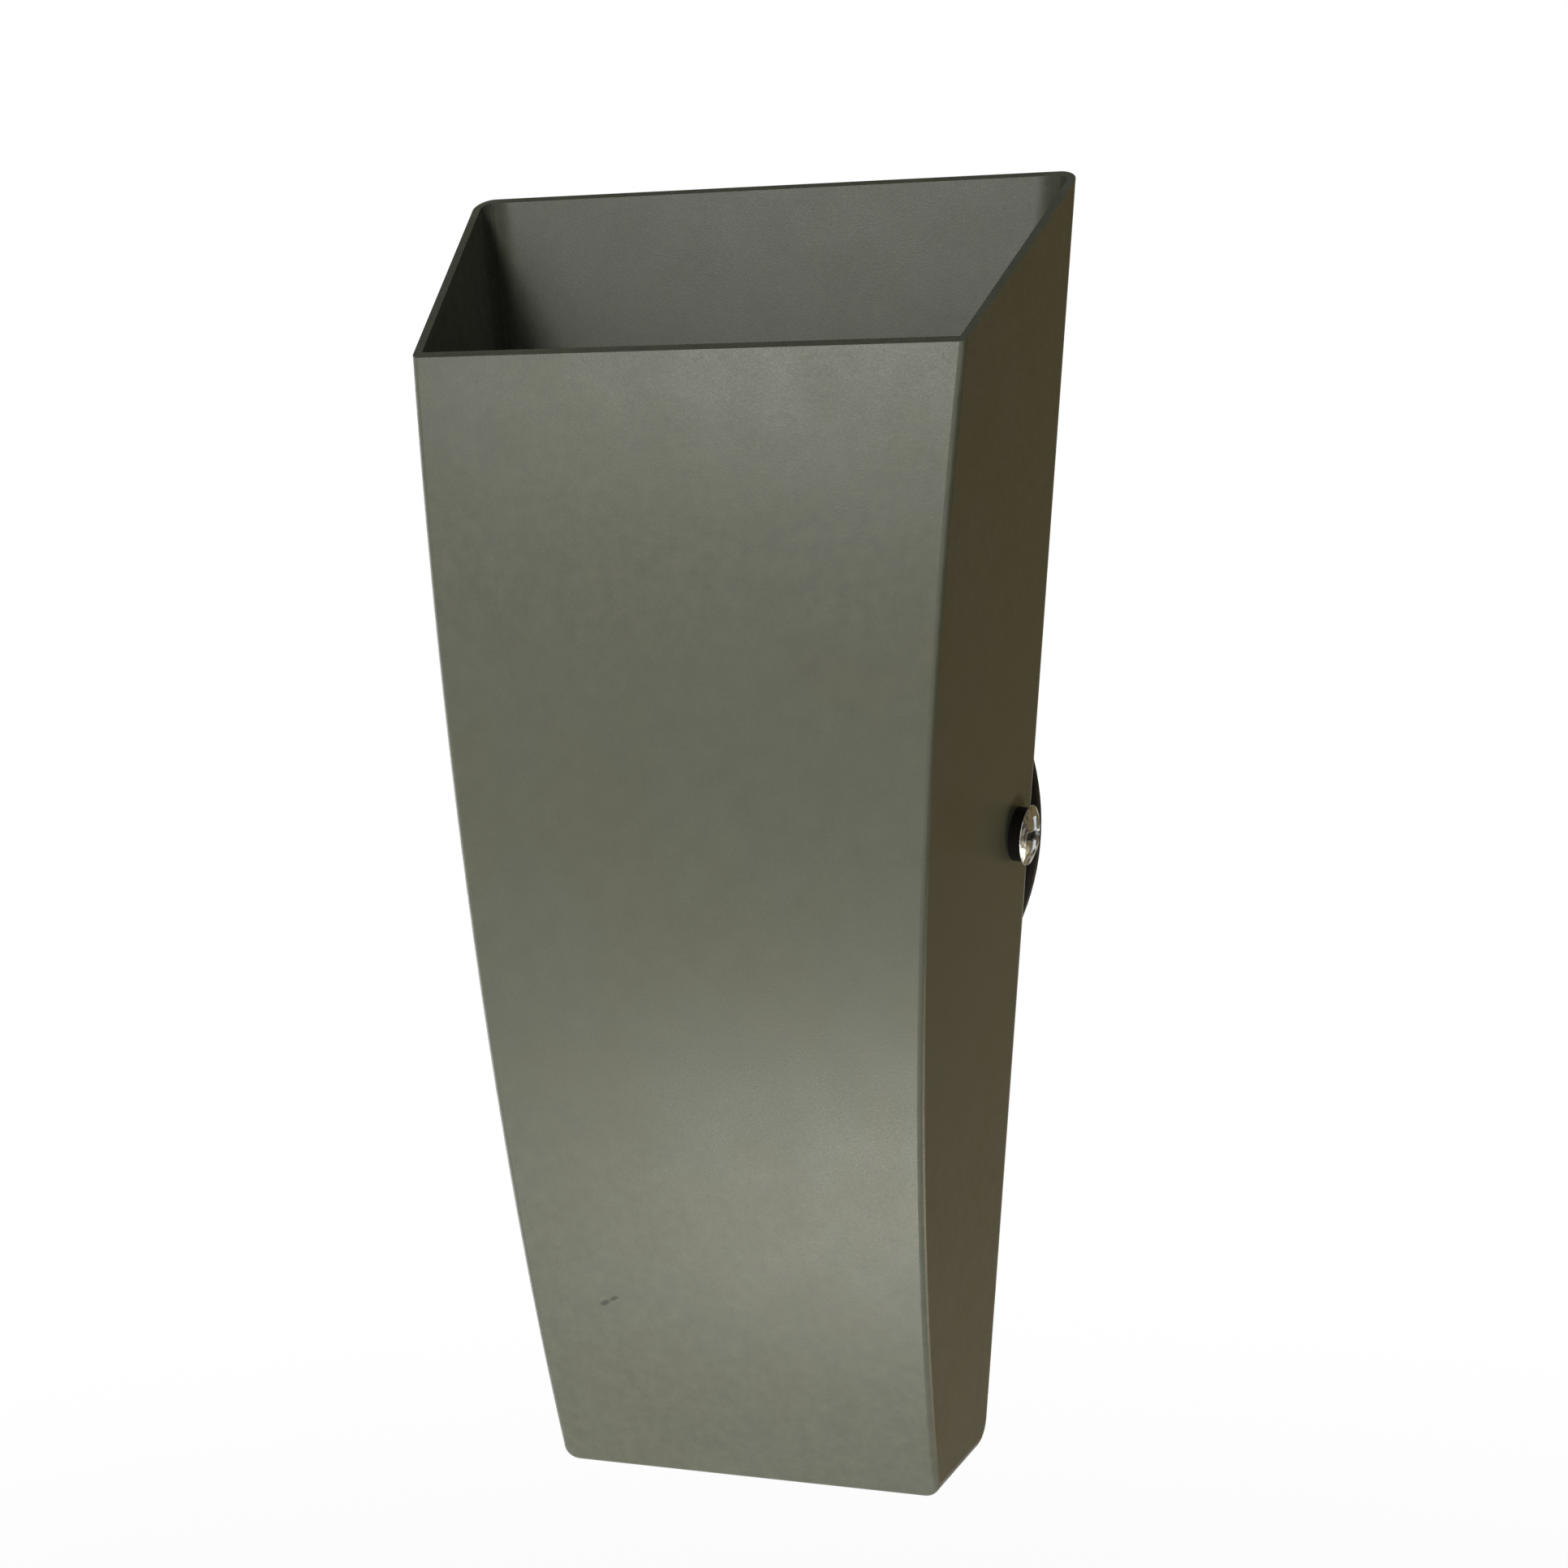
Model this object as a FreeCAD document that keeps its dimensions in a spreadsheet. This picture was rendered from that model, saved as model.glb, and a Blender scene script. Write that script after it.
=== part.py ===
# Wall lamp: a tapered, curved metal shade held by two side screws on a round wall plate.
# Row frame in millimetres: X to the right, -Y out of the wall into the room, Z up.
# The wall is the plane Y = 0. The origin lies on it, level with the two side screws.
import FreeCAD
import Part
import math
import os
import re
import Sketcher
from FreeCAD import Placement, Rotation, Vector

# Driving sizes, in millimetres and degrees
SIZES = {
    # shade
    "shade_height": 240.0,
    "front_height": 208.0,
    "bottom_depth": 28.4,
    "top_depth": 54.2,
    "front_bulge": 12.8,
    "back_bottom_width": 81.4,
    "back_top_width": 117.0,
    "side_flare": 8.2,
    "shade_wall": 1.5,
    "back_edge_radius": 3.5,
    "front_edge_radius": 1.2,
    "side_foot_radius": 3.0,
    "back_foot_radius": 6.0,
    "front_foot_radius": 1.2,
    "inner_edge_radius": 0.4,
    "screw_height": 121.3,
    "screw_inset": 10.4,
    # window in the back wall of the shade
    "window_clearance": 3.0,
    # wall plate
    "plate_diameter": 100.0,
    "plate_depth": 5.0,
    "plate_sheet": 1.2,
    "plate_corner": 2.0,
    "plate_clearance": 0.3,
    "wall_slot_spacing": 60.0,
    "wall_slot_width": 5.0,
    "wall_slot_length": 12.0,
    # bracket with two ears
    "bracket_sheet": 1.5,
    "ear_height": 20.0,
    "ear_reach": 20.0,
    "ear_corner_radius": 3.0,
    "bend_radius": 2.6,
    # rivets
    "rivet_diameter": 3.2,
    "rivet_head_diameter": 6.0,
    "rivet_head_height": 1.3,
    "rivet_tail_height": 1.2,
    "bracket_rivet_gap": 3.5,
    "angle_rivet_spacing": 14.0,
    "angle_rivet_rise": 3.5,
    # angle that carries the lampholder
    "angle_width": 26.0,
    "angle_sheet": 1.2,
    "angle_bend": 2.2,
    "angle_rise": 9.0,
    "shelf_drop": 4.0,
    "shelf_margin": 1.0,
    "shelf_neck": 4.0,
    "shelf_corner_radius": 2.0,
    "shelf_lead_hole": 5.0,
    # lampholder
    "lamp_axis_depth": 24.0,
    "holder_length": 32.0,
    "holder_depth": 13.0,
    "holder_flange_height": 5.0,
    "holder_tower_gap": 0.65,
    "holder_height": 16.0,
    "holder_edge_radius": 1.5,
    "holder_screw_edge": 3.3,
    "pin_spacing": 9.0,
    "pin_slot_width": 2.6,
    "pin_slot_length": 5.4,
    "pin_slot_depth": 12.0,
    "contact_strip": 0.3,
    "contact_height": 8.0,
    "contact_depth": 4.0,
    "contact_gap": 0.3,
    # small machine screws and nuts
    "small_screw_diameter": 3.0,
    "small_head_diameter": 5.6,
    "small_head_height": 2.0,
    "small_nut_diameter": 6.2,
    "small_nut_height": 2.4,
    "small_screw_end": 0.6,
    "small_recess_width": 0.8,
    "small_recess_length": 3.0,
    "hole_clearance": 0.05,
    # lamp capsule
    "lamp_base_diameter": 14.0,
    "lamp_base_foot": 11.5,
    "lamp_base_height": 10.0,
    "glass_diameter": 13.0,
    "glass_wall": 0.9,
    "glass_length": 26.0,
    "pin_wire": 0.8,
    "pin_width": 3.2,
    "pin_length": 9.0,
    "filament_diameter": 1.8,
    "filament_length": 7.0,
    "filament_wire": 0.5,
    "filament_rise": 14.0,
    # terminal block
    "terminal_pitch": 9.5,
    "terminal_tower_width": 8.0,
    "terminal_width": 16.0,
    "terminal_height": 14.0,
    "terminal_base": 5.5,
    "terminal_tab": 8.0,
    "terminal_drop": 34.0,
    "tube_diameter": 4.0,
    "tube_bore": 2.6,
    "tube_length": 15.0,
    "tube_depth": 6.5,
    "clamp_screw_diameter": 2.0,
    "clamp_screw_spacing": 7.6,
    "clamp_head_diameter": 3.0,
    "clamp_head_height": 1.5,
    # earth terminal
    "earth_offset": 22.0,
    "earth_drop": 21.0,
    "earth_screw_diameter": 4.0,
    "earth_head_diameter": 7.6,
    "earth_head_height": 2.6,
    "earth_washer_diameter": 8.4,
    "earth_washer_sheet": 0.6,
    "earth_tooth_notch": 0.9,
    "lug_diameter": 8.0,
    "lug_sheet": 0.8,
    "lug_tongue": 4.6,
    "lug_tongue_width": 3.0,
    "lug_barrel_diameter": 3.4,
    "lug_barrel_length": 5.0,
    # leads and cable entry
    "lead_diameter": 1.6,
    "lead_grip": 5.0,
    "lead_clearance": 0.2,
    "lead_rise": 4.0,
    "lead_level": 7.0,
    "earth_run": 16.0,
    "earth_loop": 7.0,
    "cable_drop": 18.0,
    "cable_hole": 10.4,
    "grommet_diameter": 12.6,
    "grommet_bore": 7.0,
    "grommet_lip": 1.2,
    # side screws with their washers and pressed nuts
    "side_screw_diameter": 4.9,
    "side_head_diameter": 11.1,
    "side_head_flank": 0.4,
    "side_head_dome": 0.9,
    "side_recess_width": 1.3,
    "side_recess_length": 5.6,
    "side_recess_depth": 1.0,
    "side_washer_diameter": 10.0,
    "side_washer_sheet": 2.3,
    "side_nut_diameter": 8.4,
    "side_nut_spigot": 6.0,
    "side_nut_height": 3.0,
    "side_nut_bore": 5.0,
    "side_tip_chamfer": 0.5,
    "ear_tip_gap": 0.4,
    "side_tip_reach": 0.2,
    # travel of the lamp out of its holder, and overrun of the cutting tools
    "lamp_travel": 14.0,
    "cut_overrun": 5.0,
}
# Counts, shares of a turn and turning senses
NOTCH_COUNT = 12
WAY_COUNT = 3
NUT_SIDES = 6
FULL_TURN = 360.0
RIGHT, LEFT = 1, -1
CCW, CW = 1, -1
# The part of a lead's shorter run that its bend takes up, and the earth loop's two low points
# as shares of the way from lug to tube
BEND_SHARE = 0.45
EARTH_LOOP_SHARES = (0.3, 0.7)

doc = FreeCAD.newDocument("wall_lamp")
sheet = doc.addObject("Spreadsheet::Sheet", "sizes")
aliases = []
nodes = {}


def keep(alias, value):
    """Write one named number to the next row of the sheet and return it."""
    aliases.append(alias)
    row = len(aliases)
    sheet.set(f"A{row}", alias)
    sheet.set(f"B{row}", repr(float(value)))
    sheet.setAlias(f"B{row}", alias)
    return float(value)


def bound(text):
    """Turn a sum of aliases into an expression on the sheet."""
    return re.sub(r"[a-z_]+", lambda word: "sizes." + word.group(), str(text))


def number(text):
    """Value of a sum of aliases."""
    return float(sheet.evalExpression(bound(text)))


size = {alias: keep(alias, value) for alias, value in SIZES.items()}

# Sizes worked out from the driving ones
flare = math.tan(math.radians(size["side_flare"]))
taper = (size["back_top_width"] - size["back_bottom_width"]) / 2 / size["shade_height"]
slant = math.sqrt(1 + flare ** 2 + taper ** 2)
over = size["cut_overrun"]
wall = size["shade_wall"]
bulge = size["front_bulge"]
shade_back = keep("shade_back", size["plate_depth"] + size["plate_clearance"])
shade_bottom = keep("shade_bottom", -size["screw_height"])
shade_top = keep("shade_top", size["shade_height"] - size["screw_height"])
front_top = keep("front_top", size["front_height"] - size["screw_height"])
chord = math.hypot(size["front_height"], size["top_depth"] - size["bottom_depth"])
front_radius = keep("front_radius", (chord ** 2 / 4 + bulge ** 2) / (2 * bulge))


def front_centre():
    """Centre, as Y and Z, of the arc that the front face follows."""
    low = Vector(-(shade_back + size["bottom_depth"]), shade_bottom, 0)
    high = Vector(-(shade_back + size["top_depth"]), front_top, 0)
    along = (high - low).normalize()
    inward = Vector(along.y, -along.x, 0)
    return (low + high) * 0.5 + inward * (front_radius - bulge)


arc_centre = front_centre()


def front_at(height, offset):
    """Y of the front face at a height, moved inwards by an offset."""
    rise = height - arc_centre.y
    return arc_centre.x - math.sqrt((front_radius - offset) ** 2 - rise ** 2)


def side_at(height, depth, offset):
    """Half width of the shade at a height and a depth in front of its back plane."""
    back = size["back_bottom_width"] / 2 + taper * (height - shade_bottom)
    return back - flare * depth - offset * slant


keep("inner_radius", front_radius - wall)
inner_bottom = keep("inner_bottom", shade_bottom + wall)
keep("inner_back", shade_back + wall)
keep("inner_front_low", front_at(inner_bottom, wall))
keep("inner_front_high", front_at(front_top + over, wall))
wedge_reach = size["top_depth"] + bulge + over
keep("wedge_front", shade_back + wedge_reach)
wedge_low = keep("wedge_low", shade_bottom - over)
wedge_high = keep("wedge_high", shade_top + over + over)
for shell, offset in (("outer", 0), ("inner", wall)):
    for level, height in (("low", wedge_low), ("high", wedge_high)):
        keep(f"{shell}_{level}_back", side_at(height, -shade_back, offset))
        keep(f"{shell}_{level}_front", side_at(height, wedge_reach, offset))

ear_offset = wall + size["side_nut_height"] + size["ear_tip_gap"]
ear_half = keep("ear_half", size["ear_height"] / 2)
keep("web_front", size["plate_depth"] + size["bracket_sheet"])
keep("ear_end", shade_back + size["ear_reach"])
for level, height in (("low", -ear_half), ("high", ear_half)):
    sheet_offset = ear_offset + size["bracket_sheet"]
    keep(f"ear_{level}_root", side_at(height, -size["plate_clearance"], ear_offset))
    keep(f"ear_{level}_tip", side_at(height, size["ear_reach"], ear_offset))
    root_depth = size["bracket_sheet"] - size["plate_clearance"]
    keep(f"ear_{level}_crook", side_at(height, root_depth, sheet_offset))
    keep(f"ear_{level}_inside", side_at(height, size["ear_reach"], sheet_offset))

bend_turn = math.radians(FULL_TURN / 4 - size["side_flare"])
for bend, radius in (("outer", size["bend_radius"]),
                     ("inner", size["bend_radius"] - size["bracket_sheet"])):
    reach = radius * math.tan(bend_turn / 2)
    keep(f"{bend}_bend_reach", reach)
    keep(f"{bend}_bend_across", reach * math.cos(bend_turn))
    keep(f"{bend}_bend_down", reach * math.sin(bend_turn))

keep("bracket_rivet_spacing", size["angle_width"] + size["rivet_head_diameter"]
     + 2 * size["bracket_rivet_gap"])
holder_spacing = keep("holder_screw_spacing", size["holder_length"] - 2 * size["holder_screw_edge"])
keep("holder_tower_length", holder_spacing - size["small_head_diameter"]
     - 2 * size["holder_tower_gap"])
lamp_y = keep("lamp_reach", shade_back + size["lamp_axis_depth"])
holder_top = keep("holder_top", size["holder_height"] - size["shelf_drop"])
glass_foot = keep("glass_foot", holder_top + size["lamp_base_height"])
lamp_tip = keep("lamp_tip", glass_foot + size["glass_length"])
band = keep("window_band", ear_half + size["window_clearance"])
keep("window_top", lamp_tip + size["lamp_travel"] + size["window_clearance"])
keep("window_half", size["holder_length"] / 2 + size["window_clearance"])
terminal_foot = size["terminal_drop"] + size["terminal_width"] / 2
terminal_head = size["terminal_drop"] - size["terminal_width"] / 2
tube_y = size["plate_depth"] + size["tube_depth"]
earth_low = size["earth_drop"] + size["lug_tongue"] + size["earth_run"]
keep("window_bottom", earth_low + size["earth_loop"] + size["window_clearance"])
block_half = keep("block_half", size["terminal_pitch"] + size["terminal_tower_width"] / 2)
tab_end = block_half + size["terminal_tab"]
earth_end = size["earth_offset"] + size["earth_washer_diameter"] / 2
keep("lower_window_half", max(tab_end, earth_end) + size["window_clearance"])
keep("rivet_dome", (size["rivet_head_diameter"] ** 2 / 4 + size["rivet_head_height"] ** 2)
     / (2 * size["rivet_head_height"]))
keep("side_dome", (size["side_head_diameter"] ** 2 / 4 + size["side_head_dome"] ** 2)
     / (2 * size["side_head_dome"]))
doc.recompute()


def origin_plane(body, role):
    """One of the three origin planes of a body."""
    return next(item for item in body.Origin.OriginFeatures if item.Role == role)


def new_body(name):
    """A part design body whose label is its node's name."""
    body = doc.addObject("PartDesign::Body", name)
    body.Label = name
    body.AllowCompound = True
    return body


def new_sketch(body, name, plane, lift=None):
    """A sketch on an origin plane of its own body, lifted off it by a sum of aliases."""
    sketch = body.newObject("Sketcher::SketchObject", name)
    sketch.AttachmentSupport = [(origin_plane(body, plane), "")]
    sketch.MapMode = "FlatFace"
    if lift is not None:
        sketch.setExpression("AttachmentOffset.Base.z", bound(lift))
    return sketch


def fix(sketch, kind, item, point, text):
    """Tie one coordinate of a point to a sum of aliases."""
    if str(text) == "0":
        axis = -2 if kind == "DistanceX" else -1
        sketch.addConstraint(Sketcher.Constraint("PointOnObject", item, point, axis))
        return
    rule = Sketcher.Constraint(kind, -1, 1, item, point, number(text))
    index = sketch.addConstraint(rule)
    sketch.setExpression(f"Constraints[{index}]", bound(text))


def trace(sketch, corners):
    """Draw a closed outline. A corner is (x, y), or (x, y, radius, sense) when an arc
    leads to it from the corner before."""
    spots = [Vector(number(corner[0]), number(corner[1]), 0) for corner in corners]
    pieces = []
    for index, start in enumerate(spots):
        following = (index + 1) % len(spots)
        end = spots[following]
        if len(corners[following]) == 2:
            item = sketch.addGeometry(Part.LineSegment(start, end), False)
            pieces.append((item, 1, 2))
            continue
        radius, sense = corners[following][2:]
        span = end - start
        height = math.sqrt(number(radius) ** 2 - span.Length ** 2 / 4)
        side = Vector(-span.y, span.x, 0).normalize() * sense
        centre = (start + end) * 0.5 + side * height
        first, last = (start, end) if sense == CCW else (end, start)
        circle = Part.Circle(centre, Vector(0, 0, 1), number(radius))
        low = math.atan2(first.y - centre.y, first.x - centre.x)
        high = math.atan2(last.y - centre.y, last.x - centre.x)
        item = sketch.addGeometry(Part.ArcOfCircle(circle, low, high), False)
        pieces.append((item, 1, 2) if sense == CCW else (item, 2, 1))
        index = sketch.addConstraint(Sketcher.Constraint("Radius", item, number(radius)))
        sketch.setExpression(f"Constraints[{index}]", bound(radius))
    for index, (item, start, end) in enumerate(pieces):
        after = pieces[(index + 1) % len(pieces)]
        sketch.addConstraint(Sketcher.Constraint("Coincident", item, end, after[0], after[1]))
        fix(sketch, "DistanceX", item, start, corners[index][0])
        fix(sketch, "DistanceY", item, start, corners[index][1])


def ring(sketch, across, up, diameter):
    """Draw a circle whose centre and diameter are sums of aliases."""
    centre = Vector(number(across), number(up), 0)
    circle = Part.Circle(centre, Vector(0, 0, 1), number(diameter) / 2)
    item = sketch.addGeometry(circle, False)
    fix(sketch, "DistanceX", item, 3, across)
    fix(sketch, "DistanceY", item, 3, up)
    index = sketch.addConstraint(Sketcher.Constraint("Diameter", item, number(diameter)))
    sketch.setExpression(f"Constraints[{index}]", bound(diameter))


def box_outline(left, right, low, high):
    """Corners of an upright rectangle."""
    return [(left, low), (right, low), (right, high), (left, high)]


def slot(sketch, middle, length, width):
    """Draw a level slot with round ends about a point on the X axis."""
    half, reach = number(width) / 2, (number(length) - number(width)) / 2
    centre, up = number(middle), Vector(0, 0, 1)
    right, left = Vector(centre + reach, 0, 0), Vector(centre - reach, 0, 0)
    rise = Vector(0, half, 0)
    arc_right = Part.ArcOfCircle(Part.Circle(right, up, half), -math.pi / 2, math.pi / 2)
    arc_left = Part.ArcOfCircle(Part.Circle(left, up, half), math.pi / 2, 3 * math.pi / 2)
    first = sketch.addGeometry(arc_right, False)
    top = sketch.addGeometry(Part.LineSegment(right + rise, left + rise), False)
    last = sketch.addGeometry(arc_left, False)
    low = sketch.addGeometry(Part.LineSegment(left - rise, right - rise), False)
    for item, after in ((first, top), (top, last), (last, low), (low, first)):
        sketch.addConstraint(Sketcher.Constraint("Tangent", item, 2, after, 1))
    sketch.addConstraint(Sketcher.Constraint("Equal", first, last))
    fix(sketch, "DistanceX", first, 3, f"{middle} + ({length} - {width}) / 2")
    fix(sketch, "DistanceY", first, 3, "0")
    fix(sketch, "DistanceX", last, 3, f"{middle} - ({length} - {width}) / 2")
    fix(sketch, "DistanceY", last, 3, "0")
    index = sketch.addConstraint(Sketcher.Constraint("Radius", first, half))
    sketch.setExpression(f"Constraints[{index}]", bound(f"{width} / 2"))


def finish(body, feature):
    """Make a feature the tip of its body, and return it."""
    body.Tip = feature
    return feature


def pad(body, name, sketch, length, symmetric=False):
    """Raise a sketch by a sum of aliases."""
    feature = body.newObject("PartDesign::Pad", name)
    feature.Profile = sketch
    feature.SideType = "Symmetric" if symmetric else "One side"
    feature.setExpression("Length", bound(length))
    return finish(body, feature)


def pocket(body, name, sketch, length=None):
    """Cut a sketch to a depth against its plane's normal, or right through both ways."""
    feature = body.newObject("PartDesign::Pocket", name)
    feature.Profile = sketch
    if length is None:
        feature.SideType = "Symmetric"
        feature.Type = "ThroughAll"
    else:
        feature.setExpression("Length", bound(length))
    return finish(body, feature)


def revolve(body, name, sketch):
    """Turn a sketch once about its own upright axis."""
    feature = body.newObject("PartDesign::Revolution", name)
    feature.Profile = sketch
    feature.ReferenceAxis = (sketch, ["V_Axis"])
    feature.Angle = FULL_TURN
    return finish(body, feature)


def edge_names(shape, wanted):
    """Names of the edges whose ends and middle pass a test."""
    names = []
    for index, edge in enumerate(shape.Edges, 1):
        ends = [vertex.Point for vertex in edge.Vertexes]
        if len(ends) == 2 and wanted(ends[0], ends[1], edge.CenterOfMass):
            names.append(f"Edge{index}")
    return names


def round_edges(body, name, radius, wanted):
    """Round the edges of a body that pass a test."""
    doc.recompute()
    base = body.Tip
    feature = body.newObject("PartDesign::Fillet", name)
    feature.Base = (base, edge_names(base.Shape, wanted))
    feature.setExpression("Radius", bound(radius))
    return finish(body, feature)


def turned(name, corners):
    """A turned piece: a body that turns an outline of radius and height about Z."""
    body = new_body(name)
    sketch = new_sketch(body, f"{name}_outline", "XZ_Plane")
    trace(sketch, corners)
    revolve(body, f"{name}_turn", sketch)
    return body


def cross_recess(body, name, top, length, width, depth):
    """Cut a cross recess into a head whose top stands at a height on Z."""
    for index, (across, up) in enumerate(((length, width), (width, length))):
        sketch = new_sketch(body, f"{name}_{index}", "XY_Plane", top)
        trace(sketch, box_outline(f"-{across} / 2", f"{across} / 2", f"-{up} / 2", f"{up} / 2"))
        pocket(body, f"{name}_cut_{index}", sketch, depth)


def group(name, members):
    """One node that holds several like pieces."""
    piece = doc.addObject("Part::Compound", name)
    piece.Label = name
    piece.Links = members
    nodes[name] = piece
    return piece


def forward(across, reach, up):
    """Placement that turns a piece's Z axis out of the wall, at a point."""
    return Placement(Vector(across, -reach, up), Rotation(Vector(0, 0, 1), Vector(0, -1, 0)))


def lead_path(points):
    """Straight runs joined by tangent arcs that take up a share of the shorter run."""
    edges, start = [], points[0]
    for before, here, after in zip(points, points[1:], points[2:]):
        arrive, leave = here - before, after - here
        half_turn = arrive.getAngle(leave) / 2
        reach = min(arrive.Length, leave.Length) * BEND_SHARE
        arrive.normalize()
        leave.normalize()
        begin, end = here - arrive * reach, here + leave * reach
        radius = reach / math.tan(half_turn)
        inward = (leave - arrive).normalize()
        middle = here + inward * (radius / math.cos(half_turn) - radius)
        edges.append(Part.LineSegment(start, begin).toShape())
        edges.append(Part.Arc(begin, middle, end).toShape())
        start = end
    edges.append(Part.LineSegment(start, points[-1]).toShape())
    return Part.Wire(edges)


def lead(name, points):
    """An insulated lead: a round section carried along its route."""
    path = lead_path(points)
    radius = size["lead_diameter"] / 2
    start = (points[1] - points[0]).normalize()
    section = Part.Wire(Part.Circle(points[0], start, radius).toShape())
    piece = doc.addObject("Part::Feature", name)
    piece.Label = name
    piece.Shape = path.makePipeShell([section], True, False)
    nodes[name] = piece


# Shade: side outline crossed with a tapered wedge, hollowed by the same form one wall inside
def wedge(shell):
    """Tapered wedge between the two side walls, outside or one wall inside."""
    body = new_body(f"shade_{shell}_wedge")
    sections = []
    for level in ("low", "high"):
        lift = f"wedge_{level}"
        sketch = new_sketch(body, f"{shell}_{level}_section", "XY_Plane", lift)
        back, front = f"{shell}_{level}_back", f"{shell}_{level}_front"
        trace(sketch, [(f"-{front}", "-wedge_front"), (front, "-wedge_front"),
                       (back, "0"), (f"-{back}", "0")])
        sections.append(sketch)
    loft = body.newObject("PartDesign::AdditiveLoft", f"{shell}_loft")
    loft.Profile = sections[0]
    loft.Sections = sections[1:]
    loft.Ruled = True
    finish(body, loft)
    return body


def side_form(shell, corners):
    """Side outline of the shade, raised across its whole width."""
    body = new_body(f"shade_{shell}_side")
    sketch = new_sketch(body, f"{shell}_side_outline", "YZ_Plane")
    trace(sketch, corners)
    pad(body, f"{shell}_side_pad", sketch, "back_top_width + back_bottom_width", symmetric=True)
    return body


def crossed(name, first, second):
    """What two solids have in common."""
    piece = doc.addObject("Part::Common", name)
    piece.Base = first
    piece.Tool = second
    return piece


def rounded_form(name, base, back, low, radii):
    """Round the edges of a shade form: back, front, and those round its foot."""
    doc.recompute()
    shape = base.Shape
    reach = size["bottom_depth"] / 2
    rounded = doc.addObject("Part::Fillet", name)
    rounded.Base = base
    edges = []
    for index, edge in enumerate(shape.Edges, 1):
        first, last = (vertex.Point for vertex in edge.Vertexes)
        middle = edge.CenterOfMass
        at_back = abs(middle.y + back) < wall
        if abs(first.z - last.z) > front_top:
            kind = "back" if at_back else "front"
        elif abs(middle.z - low) < wall:
            level = abs(first.y - last.y) < reach
            kind = ("back_foot" if at_back else "front_foot") if level else "side_foot"
        else:
            continue
        edges.append((index, radii[kind], radii[kind]))
    rounded.Edges = edges
    return rounded


outer_side = side_form("outer", [
    ("-shade_back", "shade_bottom"), ("-shade_back", "shade_top"),
    ("-shade_back - top_depth", "front_top"),
    ("-shade_back - bottom_depth", "shade_bottom", "front_radius", CCW)])
inner_side = side_form("inner", [
    ("-inner_back", "inner_bottom"), ("-inner_back", "shade_top + cut_overrun"),
    ("inner_front_high", "front_top + cut_overrun"),
    ("inner_front_low", "inner_bottom", "inner_radius", CCW)])
outer_wedge, inner_wedge = wedge("outer"), wedge("inner")
outer_raw = crossed("shade_outer_raw", outer_side, outer_wedge)
inner_raw = crossed("shade_inner_raw", inner_side, inner_wedge)
outer_form = rounded_form("shade_outer", outer_raw, shade_back, shade_bottom, {
    "back": size["back_edge_radius"], "front": size["front_edge_radius"],
    "side_foot": size["side_foot_radius"], "back_foot": size["back_foot_radius"],
    "front_foot": size["front_foot_radius"]})
inner_form = rounded_form("shade_inner", inner_raw, shade_back + wall, inner_bottom, {
    "back": size["back_edge_radius"] - wall, "front": size["inner_edge_radius"],
    "side_foot": size["side_foot_radius"] - wall, "back_foot": size["back_foot_radius"] - wall,
    "front_foot": size["inner_edge_radius"]})

# The window in the back wall passes the ears, the lamp and the terminals as the shade slides on
window = new_body("shade_window")
window_sketch = new_sketch(window, "window_outline", "XZ_Plane")
lower_half, band_half = "lower_window_half", "back_top_width / 2"
trace(window_sketch, [
    (f"-{lower_half}", "-window_bottom"), (lower_half, "-window_bottom"),
    (lower_half, "-window_band"), (band_half, "-window_band"), (band_half, "window_band"),
    ("window_half", "window_band"), ("window_half", "window_top"), ("-window_half", "window_top"),
    ("-window_half", "window_band"), (f"-{band_half}", "window_band"),
    (f"-{band_half}", "-window_band"), (f"-{lower_half}", "-window_band")])
pad(window, "window_pad", window_sketch, "inner_back + shade_wall")
window_tool = crossed("shade_window_tool", window, inner_wedge)


def side_frame(side):
    """Placement of a side screw: its origin on the shade's side, its Z axis outwards."""
    across = side * side_at(0, size["screw_inset"], 0)
    outward = Vector(side, -flare, -taper)
    seat = Vector(across, -(shade_back + size["screw_inset"]), 0)
    return Placement(seat, Rotation(Vector(0, 0, 1), outward))


hole_tools = []
for side_name, side in (("right", RIGHT), ("left", LEFT)):
    hole = doc.addObject("Part::Cylinder", f"side_hole_{side_name}")
    hole.setExpression("Radius", bound("side_nut_spigot / 2 + hole_clearance"))
    hole.setExpression("Height", bound("shade_wall + cut_overrun"))
    frame = side_frame(side)
    hole.Placement = frame.multiply(Placement(Vector(0, 0, -(wall + over / 2)), Rotation()))
    hole_tools.append(hole)
shade_tools = doc.addObject("Part::MultiFuse", "shade_tools")
shade_tools.Shapes = [inner_form, window_tool] + hole_tools
shade = doc.addObject("Part::Cut", "shade")
shade.Label = "shade"
shade.Base = outer_form
shade.Tool = shade_tools
nodes["shade"] = shade

# Wall plate: a shallow pressed dish with its holes
plate = new_body("wall_plate")
plate_sketch = new_sketch(plate, "plate_outline", "XY_Plane")
trace(plate_sketch, [
    ("0", "-plate_depth"), ("plate_diameter / 2 - plate_corner", "-plate_depth"),
    ("plate_diameter / 2", "plate_corner - plate_depth", "plate_corner", CCW),
    ("plate_diameter / 2", "0"), ("plate_diameter / 2 - plate_sheet", "0"),
    ("plate_diameter / 2 - plate_sheet", "plate_corner - plate_depth"),
    ("plate_diameter / 2 - plate_corner", "plate_sheet - plate_depth",
     "plate_corner - plate_sheet", CW),
    ("0", "plate_sheet - plate_depth")])
revolve(plate, "plate_turn", plate_sketch)
plate_holes = new_sketch(plate, "plate_holes", "XZ_Plane")
rivet_hole = "rivet_diameter + 2 * hole_clearance"
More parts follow.
